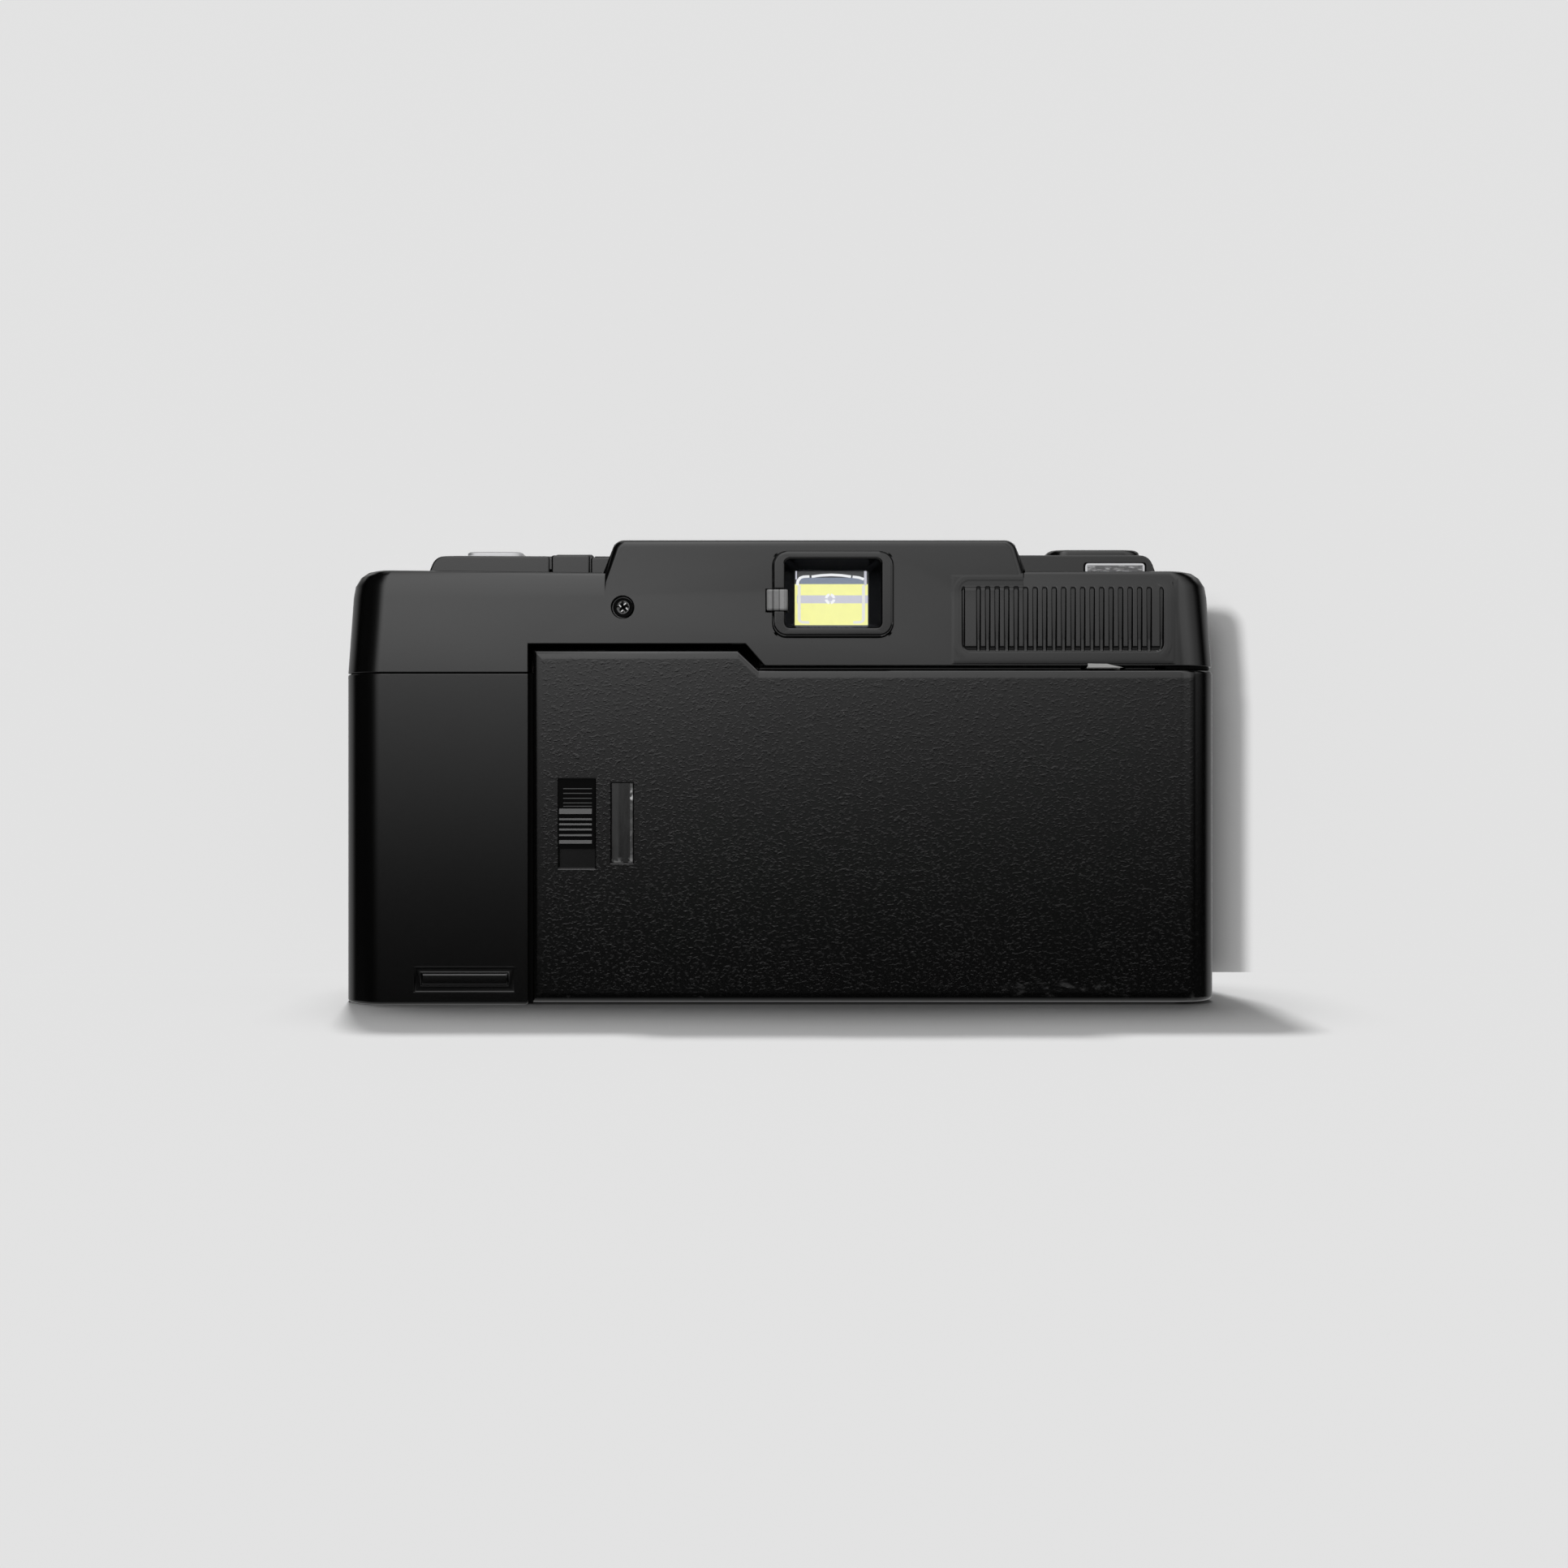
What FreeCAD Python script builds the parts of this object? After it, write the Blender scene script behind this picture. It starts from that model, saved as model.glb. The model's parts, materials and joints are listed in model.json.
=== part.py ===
import FreeCAD, Part

import math
import os

import Sketcher

# Compact film camera, seen from behind: +X is the photographer's right, +Y looks
# the way the lens looks, +Z is up. Millimetres, origin under the middle of the base.

os.makedirs("parts", exist_ok=True)
doc = FreeCAD.newDocument("CompactFilmCamera")

DRIVING_SIZES = [
    # outside of the body
    ("body_width", 132.2, "over both ends"),
    ("body_rear", 25.0, "origin to the rear of the top cover"),
    ("body_front", 13.5, "origin to the front cover"),
    ("corner", 6.0, "upright corners of the body"),
    ("wall", 1.4, "moulded covers"),
    ("seam_height", 50.0, "lower edge of the top cover"),
    ("shoulder_height", 65.0, "top of the shoulders"),
    ("end_draft", 0.8, "lean of each end of the top cover"),
    ("face_draft", 0.2, "lean of the front and rear of the top cover"),
    ("crown_end", 3.4, "rounding of the shoulders towards the ends"),
    ("crown_face", 1.2, "rounding of the shoulders towards front and rear"),
    ("cover_gap", 0.2, "seam between neighbouring covers"),
    ("side_seam", 8.0, "origin to the seam between side cover and front cover"),
    # hump over the viewfinder
    ("hump_left", 26.3, "hump foot, left of the middle"),
    ("hump_right", 36.7, "hump foot, right of the middle"),
    ("hump_rise", 5.0, "hump over the shoulders"),
    ("hump_slope", 2.6, "lean of each hump flank"),
    ("hump_corner", 2.2, "upper corners of the hump"),
    # platforms beside the hump
    ("platform_setback", 4.5, "rear cover face to the platforms"),
    ("platform_front", 9.5, "origin to the front of the platforms"),
    ("platform_slope", 2.0, "lean of the platform ends"),
    ("left_platform_end", 53.6, "foot of the left platform"),
    ("left_platform_rise", 3.0, "left platform over the shoulders"),
    ("right_platform_end", 57.2, "foot of the right platform"),
    ("right_platform_rise", 3.1, "right platform over the shoulders"),
    # back door
    ("door_left", 37.2, "free edge of the door, left of the middle"),
    ("door_side_gap", 0.7, "dark gap beside the free edge"),
    ("door_rear", 25.2, "origin to the door's outer face"),
    ("door_bottom", 0.4, "lower edge of the door"),
    ("door_top", 50.5, "upper edge of the door"),
    ("door_tab_top", 53.4, "upper edge over the cassette"),
    ("door_top_gap", 0.5, "gap above the door"),
    ("tab_gap", 0.9, "gap above the door over the cassette"),
    ("tab_right_low", 3.2, "foot of the slanted step, left of the middle"),
    ("tab_right_high", 6.3, "head of the slanted step, left of the middle"),
    ("door_rim", 3.6, "depth of the door's rim"),
    ("door_edge_round", 0.7, "rounding of the door's outer edges"),
    ("hinge_inset", 2.4, "right end of the body to the hinge axis"),
    ("hinge_depth", 11.5, "origin back to the hinge axis"),
    ("knuckle_reach", 2.4, "radius of the door knuckles"),
    ("pin_radius", 0.6, "hinge pin"),
    ("running_gap", 0.05, "radial clearance on pins and shafts"),
    ("sliding_gap", 0.15, "clearance round buttons and slides"),
    ("hinge_relief", 3.3, "front cover edge ahead of the hinge axis"),
    # film path
    ("lens_across", 11.5, "lens axis, right of the middle"),
    ("lens_height", 26.5, "lens axis above the base"),
    ("frame_width", 36.0, "picture gate"),
    ("frame_height", 24.0, "picture gate"),
    ("chassis_floor", 2.0, "underside of the chassis"),
    ("chassis_top", 50.3, "top of the chassis"),
    ("chassis_rear", 20.0, "origin to the chassis rear face"),
    ("chassis_left", 38.4, "left side of the chassis"),
    ("chassis_right", 59.9, "right side of the chassis"),
    ("chassis_front", 4.4, "chassis front behind the lens"),
    ("inner_rail", 1.2, "inner rails over the chassis"),
    ("outer_rail", 1.45, "outer rails over the chassis"),
    ("cassette_across", 24.0, "cassette axis, left of the middle"),
    ("cassette_depth", 9.9, "origin back to the cassette axis"),
    ("cassette_radius", 12.9, "cassette chamber"),
    ("chamber_floor", 3.4, "floor of both film chambers"),
    ("chamber_roof", 48.8, "roof of both film chambers"),
    ("spool_across", 48.6, "spool axis, right of the middle"),
    ("spool_depth", 12.0, "origin back to the spool axis"),
    ("spool_radius", 5.5, "take-up spool"),
    ("spool_chamber", 10.2, "radius of the take-up chamber"),
    ("sprocket_across", 35.0, "sprocket axis, right of the middle"),
    ("sprocket_depth", 16.8, "origin back to the sprocket axis"),
    ("sprocket_radius", 4.0, "sprocket drum"),
    ("sprocket_teeth", 6.0, "teeth in each row"),
    ("perforation_rows", 30.2, "distance between the tooth rows"),
    # gear train
    ("gear_module", 0.5, "all gears"),
    ("gear_width", 2.0, "all gears"),
    ("low_gear_level", 53.0, "underside of the lower gears"),
    ("high_gear_level", 56.0, "underside of the upper gears"),
    ("spool_teeth", 20.0, "spool gear"),
    ("small_teeth", 16.0, "idler and sprocket gears"),
    ("compound_small_teeth", 12.0, "compound gear, lower"),
    ("compound_large_teeth", 34.0, "compound gear, upper"),
    ("pinion_teeth", 10.0, "motor pinion"),
    ("mesh_gap", 0.06, "extra distance between gear axes"),
    # lens
    ("plinth_half", 20.0, "half the square lens plinth"),
    ("plinth_depth", 3.7, "plinth over the front cover"),
    ("tube_radius", 11.2, "outside of the fixed lens tube"),
    ("tube_front", 26.1, "origin to the front of the lens tube"),
    ("barrel_radius", 8.8, "moving lens barrel"),
    ("barrel_rear", 13.2, "origin to the rear of the barrel"),
    ("barrel_front", 24.9, "origin to the front of the barrel"),
    ("speed_ring_radius", 15.0, "film speed ring"),
    ("speed_ring_depth", 3.8, "film speed ring"),
    ("front_glass", 6.4, "radius of the front element"),
    ("rear_glass", 5.0, "radius of the rear element"),
    ("shutter_radius", 15.2, "shutter housing"),
    ("shutter_cavity", 14.3, "room for the blades"),
    ("aperture_radius", 4.0, "opening behind the blades"),
    ("blade_radius", 4.8, "shutter blade"),
    ("blade_offset", 2.0, "blade middle beside the lens axis"),
    ("blade_arm", 11.0, "blade pivot above the lens axis"),
    # viewfinder
    ("eyepiece_left", 1.2, "eyepiece frame, left of the middle"),
    ("eyepiece_right", 17.1, "eyepiece frame, right of the middle"),
    ("eyepiece_foot", 5.2, "seam of the top cover up to the eyepiece frame"),
    ("eyepiece_head", 1.8, "top of the hump down to the eyepiece frame"),
    ("eyepiece_corner", 2.2, "eyepiece frame"),
    ("eyepiece_proud", 1.0, "eyepiece frame over the cover"),
    ("eyepiece_border", 1.86, "side border of the eyepiece frame"),
    ("eyepiece_funnel", 4.8, "depth of the eyepiece funnel"),
    ("window_foot", 5.8, "seam of the top cover up to the long front window"),
    ("window_head", 3.2, "top of the hump down to the long front window"),
    # controls
    ("shutter_across", 46.2, "shutter button, right of the middle"),
    ("button_depth", 13.0, "origin back to both button axes"),
    ("shutter_button_radius", 7.0, "shutter button"),
    ("shutter_button_rise", 1.1, "shutter button over its platform"),
    ("timer_across", 43.0, "timer button, left of the middle"),
    ("timer_button_radius", 4.2, "timer button"),
    ("timer_button_rise", 1.0, "timer button over its platform"),
    ("switch_left", 34.3, "flash switch, left of the middle"),
    ("switch_right", 28.5, "flash switch, left of the middle"),
    ("switch_travel", 3.0, "flash switch"),
    ("counter_across", 49.7, "counter dial axis, right of the middle"),
    ("counter_depth", 14.2, "origin back to the counter dial axis"),
    ("counter_radius", 4.6, "counter dial"),
    ("window_across", 50.1, "counter window, right of the middle"),
    ("window_width", 9.2, "counter window"),
    ("button_travel", 0.8, "shutter button"),
    # thumb rest
    ("thumb_left", 27.6, "first bar, right of the middle"),
    ("thumb_foot", 2.0, "door seam up to the bars"),
    ("thumb_head", 1.3, "shoulders down to the bars"),
    ("bar_width", 1.0, "one bar"),
    ("bar_pitch", 1.547, "from bar to bar"),
    ("bar_count", 20.0, "bars"),
    ("bar_height", 0.5, "bars over their panel"),
    ("panel_seat", 0.4, "depth of the thumb rest in the cover"),
    # latch and window in the door
    ("slot_left", 33.4, "latch slot, left of the middle"),
    ("slot_right", 27.8, "latch slot, left of the middle"),
    ("slot_bottom", 20.5, "latch slot"),
    ("slot_top", 34.0, "latch slot"),
    ("latch_bottom", 23.7, "latch grip"),
    ("latch_top", 29.5, "latch grip"),
    ("latch_travel", 2.7, "latch"),
    ("view_slit_left", 25.4, "film window, left of the middle"),
    ("view_slit_right", 22.1, "film window, left of the middle"),
    ("view_slit_bottom", 21.3, "film window"),
    ("view_slit_top", 33.4, "film window"),
    ("plate_travel", 0.5, "pressure plate"),
    # battery end
    ("cell_radius", 7.25, "battery cell"),
    ("cell_length", 50.5, "battery cell"),
    ("cells_across", 55.4, "cell axes, left of the middle"),
    ("cell_rear_depth", 15.7, "origin back to the rear cell"),
    ("cell_front_depth", 0.6, "origin back to the front cell"),
    ("battery_door_width", 15.6, "battery door"),
    ("battery_door_rear", 22.8, "origin to the rear edge of the battery door"),
    ("battery_door_front", 6.4, "origin to the front edge of the battery door"),
    ("recess_left", 55.0, "label recess, left of the middle"),
    ("recess_right", 40.0, "label recess, left of the middle"),
    ("recess_bottom", 1.9, "label recess"),
    ("recess_top", 5.7, "label recess"),
    ("recess_depth", 0.5, "label recess"),
    # flash
    ("flash_left", 60.0, "flash window, left of the middle"),
    ("flash_right", 36.0, "flash window, left of the middle"),
    ("flash_foot", 2.4, "seam of the top cover up to the flash window"),
    ("flash_head", 2.2, "shoulders down to the flash window"),
    ("tube_bore", 1.3, "flash tube"),
    ("capacitor_radius", 4.3, "flash capacitor"),
    # base
    ("base_height", 0.35, "underside of the base plate"),
    ("bush_across", 29.1, "tripod bush, right of the middle"),
    ("bush_depth", 5.0, "origin back to the tripod bush"),
    ("bush_radius", 4.75, "tripod bush"),
    ("thread_radius", 2.55, "inside of the quarter-inch thread"),
    ("thread_length", 5.4, "depth of the threaded hole"),
    ("motor_radius", 5.0, "film motor"),
    ("screw_head", 1.45, "cover and base screws"),
    ("screw_shank", 0.8, "cover and base screws"),
    ("screw_across", 23.7, "cover screw, left of the middle"),
    ("screw_offset", 0.15, "cover screw over the middle of the rear face"),
]


class Size:
    """A length that knows its number and the expression it comes from."""

    def __init__(self, value, text):
        self.value = value
        self.text = text

    def __add__(self, other):
        other = as_size(other)
        return Size(self.value + other.value, f"({self.text} + {other.text})")

    def __sub__(self, other):
        other = as_size(other)
        return Size(self.value - other.value, f"({self.text} - {other.text})")

    def __mul__(self, other):
        other = as_size(other)
        return Size(self.value * other.value, f"({self.text} * {other.text})")

    def __truediv__(self, other):
        other = as_size(other)
        return Size(self.value / other.value, f"({self.text} / {other.text})")

    def __radd__(self, other):
        return as_size(other) + self

    def __rsub__(self, other):
        return as_size(other) - self

    def __rmul__(self, other):
        return as_size(other) * self

    def __neg__(self):
        return Size(-self.value, f"(0 - {self.text})")


def as_size(value):
    if isinstance(value, Size):
        return value
    return Size(float(value), f"({float(value)!r})")


def root(size):
    return Size(math.sqrt(size.value), f"sqrt({size.text})")


class SizeTable:
    """The driving sizes as attributes, each bound to its cell."""


s = SizeTable()
sheet = doc.addObject("Spreadsheet::Sheet", "sizes")
for row, (alias, number, note) in enumerate(DRIVING_SIZES, start=1):
    sheet.set(f"A{row}", alias)
    sheet.set(f"B{row}", str(number))
    sheet.set(f"C{row}", note)
    sheet.setAlias(f"B{row}", alias)
    setattr(s, alias, Size(number, f"sizes.{alias}"))
doc.recompute()

PLANES = {"top": "XY_Plane", "rear": "XZ_Plane", "side": "YZ_Plane"}
AXES = {"x": "X_Axis", "y": "Y_Axis", "z": "Z_Axis"}
TURNS = {
    "x": FreeCAD.Rotation(FreeCAD.Vector(0, 1, 0), 90),
    "y": FreeCAD.Rotation(FreeCAD.Vector(1, 0, 0), -90),
    "z": FreeCAD.Rotation(),
}
parts = []
cutting = []


def bind(target, path, size):
    target.setExpression(path, as_size(size).text)


class Outline:
    """Shapes of one sketch, each drawn and held by bound constraints."""

    def __init__(self):
        self.shapes = []

    def polygon(self, *points):
        self.shapes.append(("polygon", [(as_size(u), as_size(v)) for u, v in points]))
        return self

    def rectangle(self, u0, v0, u1, v1):
        return self.polygon((u0, v0), (u1, v0), (u1, v1), (u0, v1))

    def rounded(self, u0, v0, u1, v1, corner):
        self.shapes.append(("rounded", [as_size(n) for n in (u0, v0, u1, v1, corner)]))
        return self

    def circle(self, u, v, radius):
        self.shapes.append(("circle", [as_size(n) for n in (u, v, radius)]))
        return self

    def draw(self, sketch):
        for kind, numbers in self.shapes:
            getattr(self, "draw_" + kind)(sketch, numbers)

    def hold(self, sketch, kind, first, size, corner=1):
        index = sketch.addConstraint(Sketcher.Constraint(kind, -1, 1, first, corner, size.value))
        bind(sketch, f"Constraints[{index}]", size)

    def draw_polygon(self, sketch, points):
        first = sketch.GeometryCount
        count = len(points)
        for number, (u, v) in enumerate(points):
            u_next, v_next = points[(number + 1) % count]
            start = FreeCAD.Vector(u.value, v.value, 0)
            end = FreeCAD.Vector(u_next.value, v_next.value, 0)
            sketch.addGeometry(Part.LineSegment(start, end), False)
        for number in range(count):
            follower = first + (number + 1) % count
            sketch.addConstraint(Sketcher.Constraint("Coincident", first + number, 2, follower, 1))
        for number, (u, v) in enumerate(points):
            self.hold(sketch, "DistanceX", first + number, u)
            self.hold(sketch, "DistanceY", first + number, v)

    def draw_circle(self, sketch, numbers):
        u, v, radius = numbers
        middle = FreeCAD.Vector(u.value, v.value, 0)
        up = FreeCAD.Vector(0, 0, 1)
        first = sketch.addGeometry(Part.Circle(middle, up, radius.value), False)
        self.hold(sketch, "DistanceX", first, u, 3)
        self.hold(sketch, "DistanceY", first, v, 3)
        index = sketch.addConstraint(Sketcher.Constraint("Radius", first, radius.value))
        bind(sketch, f"Constraints[{index}]", radius)

    def draw_rounded(self, sketch, numbers):
        left, low, right, high, corner = [n.value for n in numbers]
        first = sketch.GeometryCount
        straights = [
            ((left + corner, low), (right - corner, low)),
            ((right, low + corner), (right, high - corner)),
            ((right - corner, high), (left + corner, high)),
            ((left, high - corner), (left, low + corner)),
        ]
        for start, end in straights:
            line = Part.LineSegment(FreeCAD.Vector(*start, 0), FreeCAD.Vector(*end, 0))
            sketch.addGeometry(line, False)
        middles = [
            (right - corner, low + corner),
            (right - corner, high - corner),
            (left + corner, high - corner),
            (left + corner, low + corner),
        ]
        for quarter, middle in enumerate(middles):
            circle = Part.Circle(FreeCAD.Vector(*middle, 0), FreeCAD.Vector(0, 0, 1), corner)
            start = math.radians(90 * (quarter - 1))
            arc = Part.ArcOfCircle(circle, start, start + math.pi / 2)
            sketch.addGeometry(arc, False)
        make = Sketcher.Constraint
        for number in range(4):
            arc = first + 4 + number
            sketch.addConstraint(make("Tangent", first + number, 2, arc, 1))
            sketch.addConstraint(make("Tangent", arc, 2, first + (number + 1) % 4, 1))
            sketch.addConstraint(make("Vertical" if number % 2 else "Horizontal", first + number))
        for number in range(1, 4):
            sketch.addConstraint(make("Equal", first + 4, first + 4 + number))
        index = sketch.addConstraint(make("Radius", first + 4, corner))
        bind(sketch, f"Constraints[{index}]", numbers[4])
        self.hold(sketch, "DistanceY", first, numbers[1])
        self.hold(sketch, "DistanceX", first + 1, numbers[2])
        self.hold(sketch, "DistanceY", first + 2, numbers[3])
        self.hold(sketch, "DistanceX", first + 3, numbers[0])


class Piece:
    """One sub-part: a body whose features are added in the order they are called."""

    def __init__(self, name, x=0, y=0, z=0):
        self.body = doc.addObject("PartDesign::Body", name)
        self.body.Label = name
        self.body.AllowCompound = True
        for axis, size in zip("xyz", (x, y, z)):
            bind(self.body, f".Placement.Base.{axis}", size)
        parts.append(self.body)

    def datum(self, role):
        return [item for item in self.body.Origin.OriginFeatures if item.Role == role][0]

    def sketch(self, plane, level, outline):
        sketch = self.body.newObject("Sketcher::SketchObject", "sketch")
        sketch.AttachmentSupport = [(self.datum(PLANES[plane]), "")]
        sketch.MapMode = "FlatFace"
        level = as_size(level)
        bind(sketch, ".AttachmentOffset.Base.z", -level if plane == "rear" else level)
        outline.draw(sketch)
        return sketch

    def feature(self, kind, profile=None):
        feature = self.body.newObject("PartDesign::" + kind, kind.lower())
        if profile is not None:
            feature.Profile = profile
        if kind in ("Pocket", "Groove") or kind.startswith("Subtractive"):
            cutting.append(feature)
        return feature

    def settle(self, feature):
        doc.recompute()
        return feature

    def pad(self, plane, outline, start, end):
        start, end = as_size(start), as_size(end)
        sketch = self.sketch(plane, end if plane == "rear" else start, outline)
        feature = self.feature("Pad", sketch)
        bind(feature, "Length", end - start)
        return self.settle(feature)

    def pocket(self, plane, outline, start, end):
        start, end = as_size(start), as_size(end)
        sketch = self.sketch(plane, start if plane == "rear" else end, outline)
        feature = self.feature("Pocket", sketch)
        bind(feature, "Length", end - start)
        return self.settle(feature)

    def box(self, low, high, cut=False):
        feature = self.feature("SubtractiveBox" if cut else "AdditiveBox")
        for side, axis, start, end in zip(("Length", "Width", "Height"), "xyz", low, high):
            bind(feature, f".Placement.Base.{axis}", start)
            bind(feature, side, as_size(end) - start)
        return self.settle(feature)

    def rod(self, axis, at, radius, start, end, cut=False):
        feature = self.feature("SubtractiveCylinder" if cut else "AdditiveCylinder")
        place = list(at)
        place.insert("xyz".index(axis), start)
        feature.Placement = FreeCAD.Placement(FreeCAD.Vector(), TURNS[axis])
        for letter, size in zip("xyz", place):
            bind(feature, f".Placement.Base.{letter}", size)
        bind(feature, "Radius", radius)
        bind(feature, "Height", as_size(end) - start)
        return self.settle(feature)

    def turned(self, axis, outline, cut=False):
        """Turn a half profile (distance from the axis, height along it) about z or y."""
        sketch = self.sketch("rear" if axis == "z" else "top", 0, outline)
        feature = self.feature("Groove" if cut else "Revolution", sketch)
        feature.ReferenceAxis = (sketch, ["V_Axis"])
        feature.Angle = 360
        return self.settle(feature)

    def loft(self, plane, sections, cut=False):
        sketches = [self.sketch(plane, level, outline) for level, outline in sections]
        feature = self.feature("SubtractiveLoft" if cut else "AdditiveLoft", sketches[0])
        feature.Sections = sketches[1:]
        feature.Ruled = True
        return self.settle(feature)

    def edges(self, wanted):
        shape = self.body.Tip.Shape
        return [f"Edge{n}" for n, edge in enumerate(shape.Edges, 1) if wanted(edge)]

    def fillet(self, radius, wanted):
        return self.dress("Fillet", "Radius", radius, wanted)

    def chamfer(self, size, wanted):
        return self.dress("Chamfer", "Size", size, wanted)

    def dress(self, kind, path, size, wanted):
        base = self.body.Tip
        names = self.edges(wanted)
        if not names:
            raise ValueError(f"no edge to {kind.lower()} on {self.body.Label}")
        feature = self.feature(kind)
        feature.Base = (base, names)
        bind(feature, path, size)
        return self.settle(feature)

    def repeat(self, feature, axis, length, count):
        pattern = self.feature("LinearPattern")
        pattern.Originals = [feature]
        pattern.Direction = (self.datum(AXES[axis]), [""])
        bind(pattern, "Length", length)
        bind(pattern, "Occurrences", count)
        self.body.Tip = pattern
        return self.settle(pattern)

    def around(self, feature, axis, count):
        pattern = self.feature("PolarPattern")
        pattern.Originals = [feature]
        pattern.Axis = (self.datum(AXES[axis]), [""])
        pattern.Angle = 360
        bind(pattern, "Occurrences", count)
        self.body.Tip = pattern
        return self.settle(pattern)


def along(axis, near=None, within=0.05):
    """Straight edges along one axis, if asked only those with both ends in a box."""
    number = "xyz".index(axis)

    def wanted(edge):
        if edge.Curve.TypeId != "Part::GeomLine" or len(edge.Vertexes) != 2:
            return False
        if abs(edge.tangentAt(edge.FirstParameter)[number]) < 0.999:
            return False
        return near is None or inside(edge, near, within)

    return wanted


def within_box(near, within=0.05):
    return lambda edge: inside(edge, near, within)


def inside(edge, near, within=0.05):
    """True where the edge's box lies in the box; None leaves a side open."""
    box = edge.BoundBox
    lows = (box.XMin, box.YMin, box.ZMin)
    highs = (box.XMax, box.YMax, box.ZMax)
    for low, high, limits in zip(lows, highs, near):
        if limits is None:
            continue
        start, end = [as_size(n).value for n in limits]
        if low < start - within or high > end + within:
            return False
    return True


# Faces and edges that several pieces share
left = -s.body_width / 2
right = s.body_width / 2
rear = -s.body_rear
front = s.body_front
door_rear = -s.door_rear
door_left = -s.door_left
door_inner = door_rear + s.wall
panel_right = door_left - s.door_side_gap
chassis_rear = -s.chassis_rear
platform_rear = rear + s.platform_setback
hinge_x = right - s.hinge_inset
hinge_y = -s.hinge_depth
spool = (s.spool_across, -s.spool_depth)
cassette = (-s.cassette_across, -s.cassette_depth)
sprocket = (s.sprocket_across, -s.sprocket_depth)
counter = (s.counter_across, -s.counter_depth)
shutter_button = (s.shutter_across, -s.button_depth)
timer_button = (-s.timer_across, -s.button_depth)
lens = (s.lens_across, s.lens_height)
hump_left = -s.hump_left
hump_right = s.hump_right
hump_rear = rear + s.face_draft
hump_top = s.shoulder_height + s.hump_rise
left_platform_top = s.shoulder_height + s.left_platform_rise
right_platform_top = s.shoulder_height + s.right_platform_rise
ceiling = s.shoulder_height - s.wall
stem_x = s.counter_across - s.counter_radius - 2.1
stem = (stem_x, -s.button_depth)
tab_seam = s.door_tab_top + s.tab_gap
door_seam = s.door_top + s.door_top_gap
motor = (s.spool_across, s.motor_radius + 1.2)
plinth_front = front + s.plinth_depth
inner_front = front - s.wall
screw_height = (tab_seam + s.shoulder_height) / 2 + s.screw_offset
thumb_top = s.shoulder_height - s.thumb_head
eyepiece_bottom = s.seam_height + s.eyepiece_foot
eyepiece_top = hump_top - s.eyepiece_head
lamp_low = (eyepiece_bottom + eyepiece_top) / 2 - 2.5
lamp_high = lamp_low + 3.2
window_bottom = s.seam_height + s.window_foot
window_top = hump_top - s.window_head
flash_bottom = s.seam_height + s.flash_foot
flash_top = s.shoulder_height - s.flash_head
timer_lamp = (as_size(38.0), s.seam_height + 7.0)


def plan(inset_x, inset_y, corner_inset):
    """Plan outline of the top cover, drawn in from the foot of the cover."""
    return Outline().rounded(left + inset_x, rear + inset_y, right - inset_x,
                             front - inset_y, s.corner - corner_inset)


def platform(free, inner, lean, foot, top):
    """Rear view of a platform: square at the hump, leaning at its free end."""
    return Outline().polygon((free, foot), (inner, foot), (inner, top), (free + lean, top))


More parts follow.
